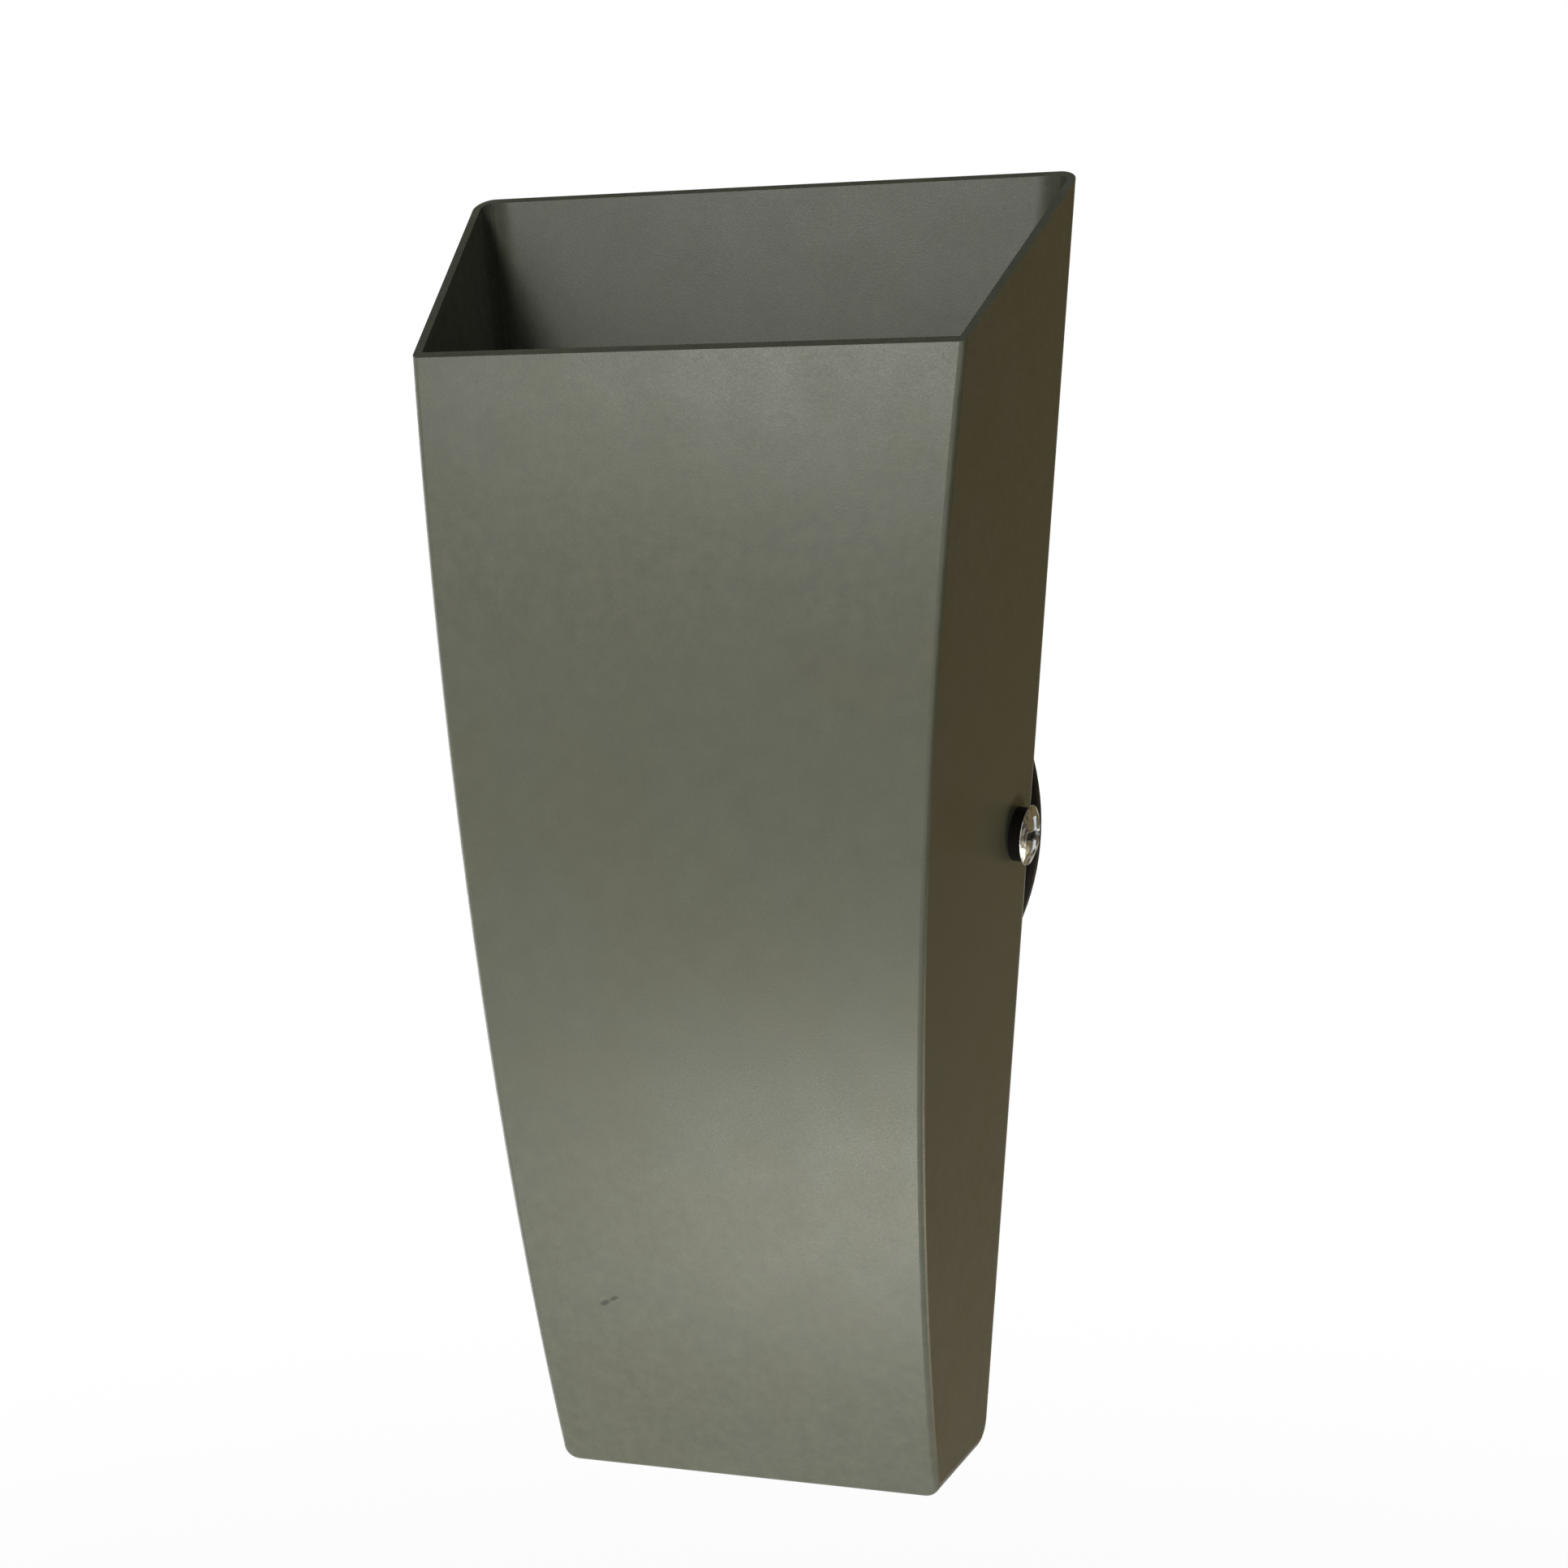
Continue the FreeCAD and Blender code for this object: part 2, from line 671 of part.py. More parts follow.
for sign in ("", "-"):
    ring(plate_holes, f"{sign}bracket_rivet_spacing / 2", "0", rivet_hole)
    ring(plate_holes, f"{sign}angle_rivet_spacing / 2", "angle_rivet_rise", rivet_hole)
    slot(plate_holes, f"{sign}wall_slot_spacing / 2", "wall_slot_length", "wall_slot_width")
ring(plate_holes, "0", "-cable_drop", "cable_hole")
ring(plate_holes, "-earth_offset", "-earth_drop", "earth_screw_diameter")
tab_middle = "block_half + terminal_tab / 2"
ring(plate_holes, tab_middle, "-terminal_drop", "small_screw_diameter + 2 * hole_clearance")
pocket(plate, "plate_pocket", plate_holes)
nodes["wall_plate"] = plate

# Bracket: a strap across the plate whose two ears run along the side walls of the shade
strap = new_body("bracket_strap")
strap_sections = []
for level, lift in (("low", "-ear_half"), ("high", "ear_half")):
    section = new_sketch(strap, f"strap_{level}", "XY_Plane", lift)
    root, tip = f"ear_{level}_root", f"ear_{level}_tip"
    crook, inside = f"ear_{level}_crook", f"ear_{level}_inside"
    half = [
        (inside, "-ear_end"), (tip, "-ear_end"),
        (f"{root} - outer_bend_across", "-plate_depth - outer_bend_down"),
        (f"{root} - outer_bend_reach", "-plate_depth", "bend_radius", CCW),
        (f"-({root} - outer_bend_reach)", "-plate_depth"),
        (f"-({root} - outer_bend_across)", "-plate_depth - outer_bend_down", "bend_radius", CCW),
        (f"-{tip}", "-ear_end"), (f"-{inside}", "-ear_end"),
        (f"-({crook} - inner_bend_across)", "-web_front - inner_bend_down"),
        (f"-({crook} - inner_bend_reach)", "-web_front", "bend_radius - bracket_sheet", CW),
        (f"{crook} - inner_bend_reach", "-web_front"),
        (f"{crook} - inner_bend_across", "-web_front - inner_bend_down",
         "bend_radius - bracket_sheet", CW)]
    trace(section, half)
    strap_sections.append(section)
strap_loft = strap.newObject("PartDesign::AdditiveLoft", "strap_loft")
strap_loft.Profile = strap_sections[0]
strap_loft.Sections = strap_sections[1:]
strap_loft.Ruled = True
finish(strap, strap_loft)
strap_holes = new_sketch(strap, "strap_holes", "XZ_Plane")
for sign in ("", "-"):
    ring(strap_holes, f"{sign}bracket_rivet_spacing / 2", "0", rivet_hole)
    ring(strap_holes, f"{sign}angle_rivet_spacing / 2", "angle_rivet_rise", rivet_hole)
    slot(strap_holes, f"{sign}wall_slot_spacing / 2", "wall_slot_length", "wall_slot_width")
pocket(strap, "strap_pocket", strap_holes)
ear_side = new_body("bracket_side")
ear_sketch = new_sketch(ear_side, "ear_outline", "YZ_Plane")
ear_turn = "-ear_end + ear_corner_radius"
trace(ear_sketch, [
    ("-plate_depth", "-ear_half"), ("-plate_depth", "ear_half"), (ear_turn, "ear_half"),
    ("-ear_end", "ear_half - ear_corner_radius", "ear_corner_radius", CCW),
    ("-ear_end", "-ear_half + ear_corner_radius"),
    (ear_turn, "-ear_half", "ear_corner_radius", CCW)])
pad(ear_side, "ear_pad", ear_sketch, "back_top_width", symmetric=True)
bracket = crossed("bracket", strap, ear_side)
bracket.Label = "bracket"
nodes["bracket"] = bracket
sheet_y = size["plate_depth"] + size["bracket_sheet"]
near = size["hole_clearance"]


def rivet(name, across, up, grip):
    """A rivet from behind the plate's sheet to a domed head over its grip."""
    head, shank = "rivet_head_diameter / 2", "rivet_diameter / 2"
    body = turned(name, [
        ("0", "-rivet_tail_height"), (head, "-rivet_tail_height"), (head, "0"), (shank, "0"),
        (shank, grip), (head, grip), ("0", f"{grip} + rivet_head_height", "rivet_dome", CCW)])
    body.Placement = forward(across, size["plate_depth"] - size["plate_sheet"], up)
    return body


bracket_grip = "plate_sheet + bracket_sheet"
angle_grip = "plate_sheet + bracket_sheet + angle_sheet"
group("bracket_rivets", [
    rivet(f"bracket_rivet_{index}", side * number("bracket_rivet_spacing") / 2, 0, bracket_grip)
    for index, side in enumerate((RIGHT, LEFT))])
group("angle_rivets", [
    rivet(f"angle_rivet_{index}", side * size["angle_rivet_spacing"] / 2,
          size["angle_rivet_rise"], angle_grip)
    for index, side in enumerate((RIGHT, LEFT))])

# Angle: riveted to the strap, its shelf carries the lampholder
angle = new_body("holder_bracket")
angle_sketch = new_sketch(angle, "angle_outline", "YZ_Plane")
shelf_end = "-lamp_reach - holder_depth / 2 - shelf_margin"
shelf_start = "-web_front - angle_bend - shelf_neck"
trace(angle_sketch, [
    ("-web_front", "-shelf_drop - angle_sheet"), ("-web_front", "angle_rise"),
    ("-web_front - angle_sheet", "angle_rise"), ("-web_front - angle_sheet", "-shelf_drop"),
    (shelf_end, "-shelf_drop"), (shelf_end, "-shelf_drop - angle_sheet")])
pad(angle, "angle_pad", angle_sketch, "angle_width", symmetric=True)
angle_low = size["shelf_drop"] + size["angle_sheet"]
angle_front = sheet_y + size["angle_sheet"]


def angle_outside(first, last, middle):
    """Long edge at the outside of the angle's bend."""
    return abs(middle.y + sheet_y) < near and abs(middle.z + angle_low) < near


def angle_inside(first, last, middle):
    """Long edge at the inside of the angle's bend."""
    return abs(middle.y + angle_front) < near and abs(middle.z + size["shelf_drop"]) < near


round_edges(angle, "angle_outer_bend", "angle_bend", angle_outside)
round_edges(angle, "angle_inner_bend", "angle_bend - angle_sheet", angle_inside)
shelf_sketch = new_sketch(angle, "shelf_outline", "XY_Plane", "-shelf_drop - angle_sheet")
shelf_side, shelf_turn = "holder_length / 2", "shelf_corner_radius"
trace(shelf_sketch, [
    (f"-{shelf_side} + {shelf_turn}", shelf_end, shelf_turn, CCW),
    (f"{shelf_side} - {shelf_turn}", shelf_end),
    (shelf_side, f"{shelf_end} + {shelf_turn}", shelf_turn, CCW),
    (shelf_side, f"{shelf_start} - {shelf_turn}"),
    (f"{shelf_side} - {shelf_turn}", shelf_start, shelf_turn, CCW),
    (f"-{shelf_side} + {shelf_turn}", shelf_start),
    (f"-{shelf_side}", f"{shelf_start} - {shelf_turn}", shelf_turn, CCW),
    (f"-{shelf_side}", f"{shelf_end} + {shelf_turn}")])
pad(angle, "shelf_pad", shelf_sketch, "angle_sheet")
angle_holes = new_sketch(angle, "angle_holes", "XZ_Plane")
shelf_holes = new_sketch(angle, "shelf_holes", "XY_Plane")
for sign in ("", "-"):
    ring(angle_holes, f"{sign}angle_rivet_spacing / 2", "angle_rivet_rise", rivet_hole)
    ring(shelf_holes, f"{sign}holder_screw_spacing / 2", "-lamp_reach",
         "small_screw_diameter + 2 * hole_clearance")
    ring(shelf_holes, f"{sign}pin_spacing / 2", "-lamp_reach", "shelf_lead_hole")
pocket(angle, "angle_rivet_pocket", angle_holes)
pocket(angle, "shelf_pocket", shelf_holes)
nodes["holder_bracket"] = angle

# Lampholder: a ceramic block with a flange, two pin slots and lead holes
holder = new_body("lampholder_body")
flange_sketch = new_sketch(holder, "flange_outline", "XY_Plane", "-shelf_drop")
holder_back = "-lamp_reach + holder_depth / 2"
holder_front = "-lamp_reach - holder_depth / 2"
trace(flange_sketch, box_outline("-holder_length / 2", "holder_length / 2",
                                 holder_front, holder_back))
pad(holder, "flange_pad", flange_sketch, "holder_flange_height")
tower_sketch = new_sketch(holder, "tower_outline", "XY_Plane", "-shelf_drop")
trace(tower_sketch, box_outline("-holder_tower_length / 2", "holder_tower_length / 2",
                                holder_front, holder_back))
pad(holder, "tower_pad", tower_sketch, "holder_height")


def holder_upright(first, last, middle):
    """Upright outer edges of the flange and the tower."""
    return abs(first.z - last.z) > size["holder_edge_radius"]


round_edges(holder, "holder_rounds", "holder_edge_radius", holder_upright)
slot_sketch = new_sketch(holder, "pin_slots", "XY_Plane", "holder_top")
hole_sketch = new_sketch(holder, "holder_holes", "XY_Plane", "-shelf_drop + holder_flange_height")
lead_sketch = new_sketch(holder, "holder_lead_holes", "XY_Plane", "holder_top")
for sign in ("", "-"):
    middle_x = f"{sign}pin_spacing / 2"
    trace(slot_sketch, box_outline(
        f"{middle_x} - pin_slot_width / 2", f"{middle_x} + pin_slot_width / 2",
        "-lamp_reach - pin_slot_length / 2", "-lamp_reach + pin_slot_length / 2"))
    ring(hole_sketch, f"{sign}holder_screw_spacing / 2", "-lamp_reach",
         "small_screw_diameter + 2 * hole_clearance")
    ring(lead_sketch, middle_x, "-lamp_reach", "lead_diameter + 2 * lead_clearance")
pocket(holder, "pin_slot_pocket", slot_sketch, "pin_slot_depth")
pocket(holder, "holder_hole_pocket", hole_sketch, "holder_flange_height")
pocket(holder, "holder_lead_pocket", lead_sketch, "holder_height")
nodes["lampholder_body"] = holder

# Contacts: a folded strip in each pin slot
slot_floor = "holder_top - pin_slot_depth"
contacts = []
for index, sign in enumerate(("", "-")):
    contact = new_body(f"contact_{index}")
    sketch = new_sketch(contact, f"contact_outline_{index}", "XZ_Plane",
                        "lamp_reach - contact_depth / 2")
    middle_x = f"{sign}pin_spacing / 2"
    out = "(pin_slot_width / 2 - contact_gap)"
    inside = "(pin_slot_width / 2 - contact_gap - contact_strip)"
    low, high = slot_floor, f"{slot_floor} + contact_height"
    trace(sketch, [
        (f"{middle_x} - {out}", low), (f"{middle_x} + {out}", low), (f"{middle_x} + {out}", high),
        (f"{middle_x} + {inside}", high), (f"{middle_x} + {inside}", f"{low} + contact_strip"),
        (f"{middle_x} - {inside}", f"{low} + contact_strip"), (f"{middle_x} - {inside}", high),
        (f"{middle_x} - {out}", high)])
    pad(contact, f"contact_pad_{index}", sketch, "contact_depth")
    contacts.append(contact)
group("lampholder_contacts", contacts)


def small_screw(name, grip):
    """A cheese-head machine screw, its head's underside at Z = 0 and its shank downwards."""
    head, shank = "small_head_diameter / 2", "small_screw_diameter / 2"
    end = f"-({grip}) - small_nut_height - small_screw_end"
    body = turned(name, [
        ("0", end), (shank, end), (shank, "0"), (head, "0"), (head, "small_head_height"),
        ("0", "small_head_height")])
    cross_recess(body, f"{name}_recess", "small_head_height", "small_recess_length",
                 "small_recess_width", "small_head_height / 2")
    return body


def small_nut(name, place):
    """A six-sided nut whose top face is at Z = 0."""
    prism = doc.addObject("Part::Prism", f"{name}_prism")
    prism.Polygon = NUT_SIDES
    prism.setExpression("Circumradius", bound("small_nut_diameter / 2"))
    prism.setExpression("Height", bound("small_nut_height"))
    prism.setExpression("Placement.Base.z", bound("-small_nut_height"))
    bore = doc.addObject("Part::Cylinder", f"{name}_bore")
    bore.setExpression("Radius", bound("small_screw_diameter / 2 + hole_clearance"))
    bore.setExpression("Height", bound("small_nut_height + 2 * cut_overrun"))
    bore.setExpression("Placement.Base.z", bound("-small_nut_height - cut_overrun"))
    nut = doc.addObject("Part::Cut", name)
    nut.Base = prism
    nut.Tool = bore
    nut.Placement = place
    return nut


holder_grip = "holder_flange_height + angle_sheet"
holder_screws, holder_nuts = [], []
for index, side in enumerate((RIGHT, LEFT)):
    across = side * holder_spacing / 2
    screw = small_screw(f"holder_screw_{index}", holder_grip)
    seat = size["holder_flange_height"] - size["shelf_drop"]
    screw.Placement.Base = Vector(across, -lamp_y, seat)
    holder_screws.append(screw)
    below = Placement(Vector(across, -lamp_y, -angle_low), Rotation())
    holder_nuts.append(small_nut(f"holder_nut_{index}", below))
group("lampholder_screws", holder_screws)
group("lampholder_nuts", holder_nuts)

# Lamp: ceramic cap, glass capsule, two looped pins and the filament
cap = turned("lamp_base", [
    ("0", "holder_top"), ("lamp_base_foot / 2", "holder_top"),
    ("lamp_base_diameter / 2", "holder_top + lamp_base_height / 2"),
    ("lamp_base_diameter / 2", "glass_foot"), ("0", "glass_foot")])
cap.Placement.Base = Vector(0, -lamp_y, 0)
nodes["lamp_base"] = cap
glass_out, glass_in = "glass_diameter / 2", "(glass_diameter / 2 - glass_wall)"
glass = turned("lamp_glass", [
    (glass_in, "glass_foot"), (glass_out, "glass_foot"),
    (glass_out, f"lamp_tip - {glass_out}"), ("0", "lamp_tip", glass_out, CCW),
    ("0", "lamp_tip - glass_wall"), (glass_in, f"lamp_tip - {glass_out}", glass_in, CW)])
glass.Placement.Base = Vector(0, -lamp_y, 0)
nodes["lamp_glass"] = glass

pins = []
for index, sign in enumerate(("", "-")):
    pin = new_body(f"lamp_pin_{index}")
    path = new_sketch(pin, f"pin_path_{index}", "YZ_Plane", f"{sign}pin_spacing / 2")
    half = number("(pin_width - pin_wire) / 2")
    top, low = number("holder_top"), number("holder_top - pin_length + pin_width / 2")
    axis_y = -lamp_y
    near_top, near_low = Vector(axis_y + half, top, 0), Vector(axis_y + half, low, 0)
    far_top, far_low = Vector(axis_y - half, top, 0), Vector(axis_y - half, low, 0)
    bend = Part.Circle(Vector(axis_y, low, 0), Vector(0, 0, 1), half)
    path.addGeometry(Part.LineSegment(near_top, near_low), False)
    path.addGeometry(Part.ArcOfCircle(bend, math.pi, 2 * math.pi), False)
    path.addGeometry(Part.LineSegment(far_low, far_top), False)
    path.addConstraint(Sketcher.Constraint("Tangent", 0, 2, 1, 2))
    path.addConstraint(Sketcher.Constraint("Tangent", 1, 1, 2, 1))
    fix(path, "DistanceX", 0, 1, "-lamp_reach + (pin_width - pin_wire) / 2")
    fix(path, "DistanceY", 0, 1, "holder_top")
    fix(path, "DistanceX", 2, 2, "-lamp_reach - (pin_width - pin_wire) / 2")
    fix(path, "DistanceY", 2, 2, "holder_top")
    fix(path, "DistanceY", 1, 3, "holder_top - pin_length + pin_width / 2")
    path.addConstraint(Sketcher.Constraint("Vertical", 0))
    section = new_sketch(pin, f"pin_section_{index}", "XY_Plane", "holder_top")
    ring(section, f"{sign}pin_spacing / 2", "-lamp_reach + (pin_width - pin_wire) / 2", "pin_wire")
    pipe = pin.newObject("PartDesign::AdditivePipe", f"pin_pipe_{index}")
    pipe.Profile = section
    pipe.Spine = path
    finish(pin, pipe)
    pins.append(pin)
group("lamp_pins", pins)

filament_half = "filament_length / 2"
filament_level = "glass_foot + filament_rise"
filament = new_body("lamp_filament")
posts = new_sketch(filament, "filament_posts", "XY_Plane", "glass_foot")
for sign in ("", "-"):
    ring(posts, f"{sign}(filament_length - filament_wire) / 2", "-lamp_reach", "filament_wire")
pad(filament, "filament_post_pad", posts, "filament_rise")
coil = new_sketch(filament, "filament_coil", "YZ_Plane")
ring(coil, "-lamp_reach", filament_level, "filament_diameter")
pad(filament, "filament_coil_pad", coil, "filament_length", symmetric=True)
nodes["lamp_filament"] = filament

# Terminal block: three towers on a base with a fixing tab, brass tubes and clamp screws
block = new_body("terminal_housing")
block_low = "-terminal_drop - terminal_width / 2"
block_high = "-terminal_drop + terminal_width / 2"
base_sketch = new_sketch(block, "block_base", "XZ_Plane", "plate_depth")
trace(base_sketch, box_outline("-block_half", "block_half", block_low, block_high))
pad(block, "block_base_pad", base_sketch, "terminal_base")
tab_sketch = new_sketch(block, "block_tab", "XZ_Plane", "plate_depth")
trace(tab_sketch, box_outline(
    "block_half - terminal_tab", "block_half + terminal_tab",
    "-terminal_drop - terminal_tab / 2", "-terminal_drop + terminal_tab / 2"))
pad(block, "block_tab_pad", tab_sketch, "terminal_base / 2")
for way in range(WAY_COUNT):
    middle_x = f"({way - WAY_COUNT // 2}) * terminal_pitch"
    tower = new_sketch(block, f"block_tower_{way}", "XZ_Plane", "plate_depth")
    trace(tower, box_outline(f"{middle_x} - terminal_tower_width / 2",
                             f"{middle_x} + terminal_tower_width / 2", block_low, block_high))
    pad(block, f"block_tower_pad_{way}", tower, "terminal_height")
wells = new_sketch(block, "block_wells", "XZ_Plane", "plate_depth + terminal_height")
bores = new_sketch(block, "block_bores", "XY_Plane")
tab_hole = new_sketch(block, "block_tab_hole", "XZ_Plane")
ring(tab_hole, tab_middle, "-terminal_drop", "small_screw_diameter + 2 * hole_clearance")
for way in range(WAY_COUNT):
    middle_x = f"({way - WAY_COUNT // 2}) * terminal_pitch"
    ring(bores, middle_x, "-plate_depth - tube_depth", "tube_diameter + 2 * hole_clearance")
    for sign in ("+", "-"):
        ring(wells, middle_x, f"-terminal_drop {sign} clamp_screw_spacing / 2",
             "clamp_head_diameter + 2 * lead_clearance")
pocket(block, "block_bore_pocket", bores)
pocket(block, "block_well_pocket", wells, "terminal_height - tube_depth")
pocket(block, "block_tab_pocket", tab_hole)
nodes["terminal_housing"] = block

tubes, clamp_screws = [], []
for way in range(WAY_COUNT):
    middle_x = f"({way - WAY_COUNT // 2}) * terminal_pitch"
    tube = new_body(f"terminal_tube_{way}")
    tube_foot = "-terminal_drop - tube_length / 2"
    wall_sketch = new_sketch(tube, f"tube_ring_{way}", "XY_Plane", tube_foot)
    ring(wall_sketch, middle_x, "-plate_depth - tube_depth", "tube_diameter")
    ring(wall_sketch, middle_x, "-plate_depth - tube_depth", "tube_bore")
    pad(tube, f"tube_pad_{way}", wall_sketch, "tube_length")
    tap_plane = "plate_depth + tube_depth + tube_diameter"
    taps = new_sketch(tube, f"tube_taps_{way}", "XZ_Plane", tap_plane)
    for index, sign in enumerate(("+", "-")):
        ring(taps, middle_x, f"-terminal_drop {sign} clamp_screw_spacing / 2",
             "clamp_screw_diameter + 2 * hole_clearance")
        shank, head = "clamp_screw_diameter / 2", "clamp_head_diameter / 2"
        seat = "tube_diameter / 2 + lead_clearance"
        tip = "lead_diameter / 2"
        screw = turned(f"clamp_screw_{way}_{index}", [
            ("0", tip), (shank, tip), (shank, seat), (head, seat),
            (head, f"{seat} + clamp_head_height"), ("0", f"{seat} + clamp_head_height")])
        rise = number(f"-terminal_drop {sign} clamp_screw_spacing / 2")
        screw.Placement = forward(number(middle_x), tube_y, rise)
        clamp_screws.append(screw)
    pocket(tube, f"tube_tap_pocket_{way}", taps, "tube_diameter")
    tubes.append(tube)
group("terminal_tubes", tubes)
group("terminal_screws", clamp_screws)

tab_grip = "terminal_base / 2 + plate_sheet"
tab_screw = small_screw("terminal_fixing_screw", tab_grip)
tab_x, tab_z = number(tab_middle), -size["terminal_drop"]
tab_screw.Placement = forward(tab_x, size["plate_depth"] + size["terminal_base"] / 2, tab_z)
nodes["terminal_fixing_screw"] = tab_screw
tab_back = forward(tab_x, size["plate_depth"] - size["plate_sheet"], tab_z)
tab_nut = small_nut("terminal_fixing_nut", tab_back)
tab_nut.Label = "terminal_fixing_nut"
nodes["terminal_fixing_nut"] = tab_nut

# Earth terminal: ring lug, toothed washer and screw on the plate
earth_x, earth_z = -size["earth_offset"], -size["earth_drop"]
lug = new_body("earth_lug")
lug_sketch = new_sketch(lug, "lug_ring", "XZ_Plane")
ring(lug_sketch, "0", "0", "lug_diameter")
pad(lug, "lug_ring_pad", lug_sketch, "lug_sheet")
tongue = new_sketch(lug, "lug_tongue", "XZ_Plane")
trace(tongue, box_outline("-lug_tongue_width / 2", "lug_tongue_width / 2",
                          "-lug_tongue - lug_barrel_length / 2", "0"))
pad(lug, "lug_tongue_pad", tongue, "lug_sheet")
eye = new_sketch(lug, "lug_eye", "XZ_Plane")
ring(eye, "0", "0", "earth_screw_diameter + 2 * hole_clearance")
pocket(lug, "lug_eye_pocket", eye)
barrel = new_sketch(lug, "lug_barrel", "XY_Plane", "-lug_tongue - lug_barrel_length")
ring(barrel, "0", "-lug_barrel_diameter / 2", "lug_barrel_diameter")
pad(lug, "lug_barrel_pad", barrel, "lug_barrel_length")
barrel_bore = new_sketch(lug, "lug_barrel_bore", "XY_Plane", "-lug_tongue")
ring(barrel_bore, "0", "-lug_barrel_diameter / 2", "lead_diameter + 2 * lead_clearance")
pocket(lug, "lug_bore_pocket", barrel_bore, "lug_barrel_length")
lug.Placement.Base = Vector(earth_x, -size["plate_depth"], earth_z)
nodes["earth_lug"] = lug

washer = new_body("earth_washer")
washer_sketch = new_sketch(washer, "washer_ring", "XY_Plane")
ring(washer_sketch, "0", "0", "earth_washer_diameter")
ring(washer_sketch, "0", "0", "earth_screw_diameter + 2 * hole_clearance")
pad(washer, "washer_pad", washer_sketch, "earth_washer_sheet")
notch = new_sketch(washer, "washer_notch", "XY_Plane", "earth_washer_sheet")
ring(notch, "earth_washer_diameter / 2", "0", "earth_tooth_notch")
notch_cut = pocket(washer, "washer_notch_cut", notch, "earth_washer_sheet")
doc.recompute()
teeth = washer.newObject("PartDesign::PolarPattern", "washer_teeth")
teeth.Originals = [notch_cut]
teeth.Axis = (washer_sketch, ["N_Axis"])
teeth.Angle = FULL_TURN
teeth.Occurrences = NOTCH_COUNT
finish(washer, teeth)
washer.Placement = forward(earth_x, size["plate_depth"] + size["lug_sheet"], earth_z)
nodes["earth_washer"] = washer

earth_shank, earth_head = "earth_screw_diameter / 2 - hole_clearance", "earth_head_diameter / 2"
earth_tip = "-earth_washer_sheet - lug_sheet - 2 * plate_sheet"
earth_screw = turned("earth_screw", [
    ("0", earth_tip), (earth_shank, earth_tip), (earth_shank, "0"), (earth_head, "0"),
    (earth_head, "earth_head_height"), ("0", "earth_head_height")])
cross_recess(earth_screw, "earth_recess", "earth_head_height", "small_recess_length",
             "small_recess_width", "earth_head_height / 2")
earth_screw.Placement = forward(
    earth_x, size["plate_depth"] + size["lug_sheet"] + size["earth_washer_sheet"], earth_z)
nodes["earth_screw"] = earth_screw

# Leads: from the terminal tubes up to the contacts, and from the lug round to its tube
tube_end = terminal_head + size["lead_grip"]
lead_top = number(slot_floor)
lead_turn = terminal_head - size["lead_rise"]
for name, way, side in (("live_lead", 1, RIGHT), ("neutral_lead", 0, LEFT)):
    tube_x = way * size["terminal_pitch"]
    pin_x = side * size["pin_spacing"] / 2
    lead(name, [
        Vector(tube_x, -tube_y, -tube_end), Vector(tube_x, -tube_y, -lead_turn),
        Vector(pin_x, -lamp_y, -(size["shelf_drop"] + size["lead_level"])),
        Vector(pin_x, -lamp_y, lead_top)])
lug_y = size["plate_depth"] + size["lug_barrel_diameter"] / 2
earth_tube_x = -size["terminal_pitch"]
lug_start = size["earth_drop"] + size["lug_tongue"]
near_share, far_share = EARTH_LOOP_SHARES


def earth_loop(share):
    """Low point of the earth lead at a share of the way from the lug to its tube."""
    across = earth_x + (earth_tube_x - earth_x) * share
    reach = lug_y + (tube_y - lug_y) * share
    return Vector(across, -reach, -(earth_low + size["earth_loop"]))


lead("earth_lead", [
    Vector(earth_x, -lug_y, -lug_start), Vector(earth_x, -lug_y, -earth_low),
    earth_loop(near_share), earth_loop(far_share),
    Vector(earth_tube_x, -tube_y, -earth_low),
    Vector(earth_tube_x, -tube_y, -(terminal_foot - size["lead_grip"]))])

# Grommet in the cable hole
lip, neck, bore = "grommet_diameter / 2", "cable_hole / 2 - hole_clearance", "grommet_bore / 2"
grommet = turned("cable_grommet", [
    (bore, "-grommet_lip"), (lip, "-grommet_lip"), (lip, "0"), (neck, "0"),
    (neck, "plate_sheet"), (lip, "plate_sheet"), (lip, "plate_sheet + grommet_lip"),
    (bore, "plate_sheet + grommet_lip")])
grommet.Placement = forward(0, size["plate_depth"] - size["plate_sheet"], -size["cable_drop"])
nodes["cable_grommet"] = grommet

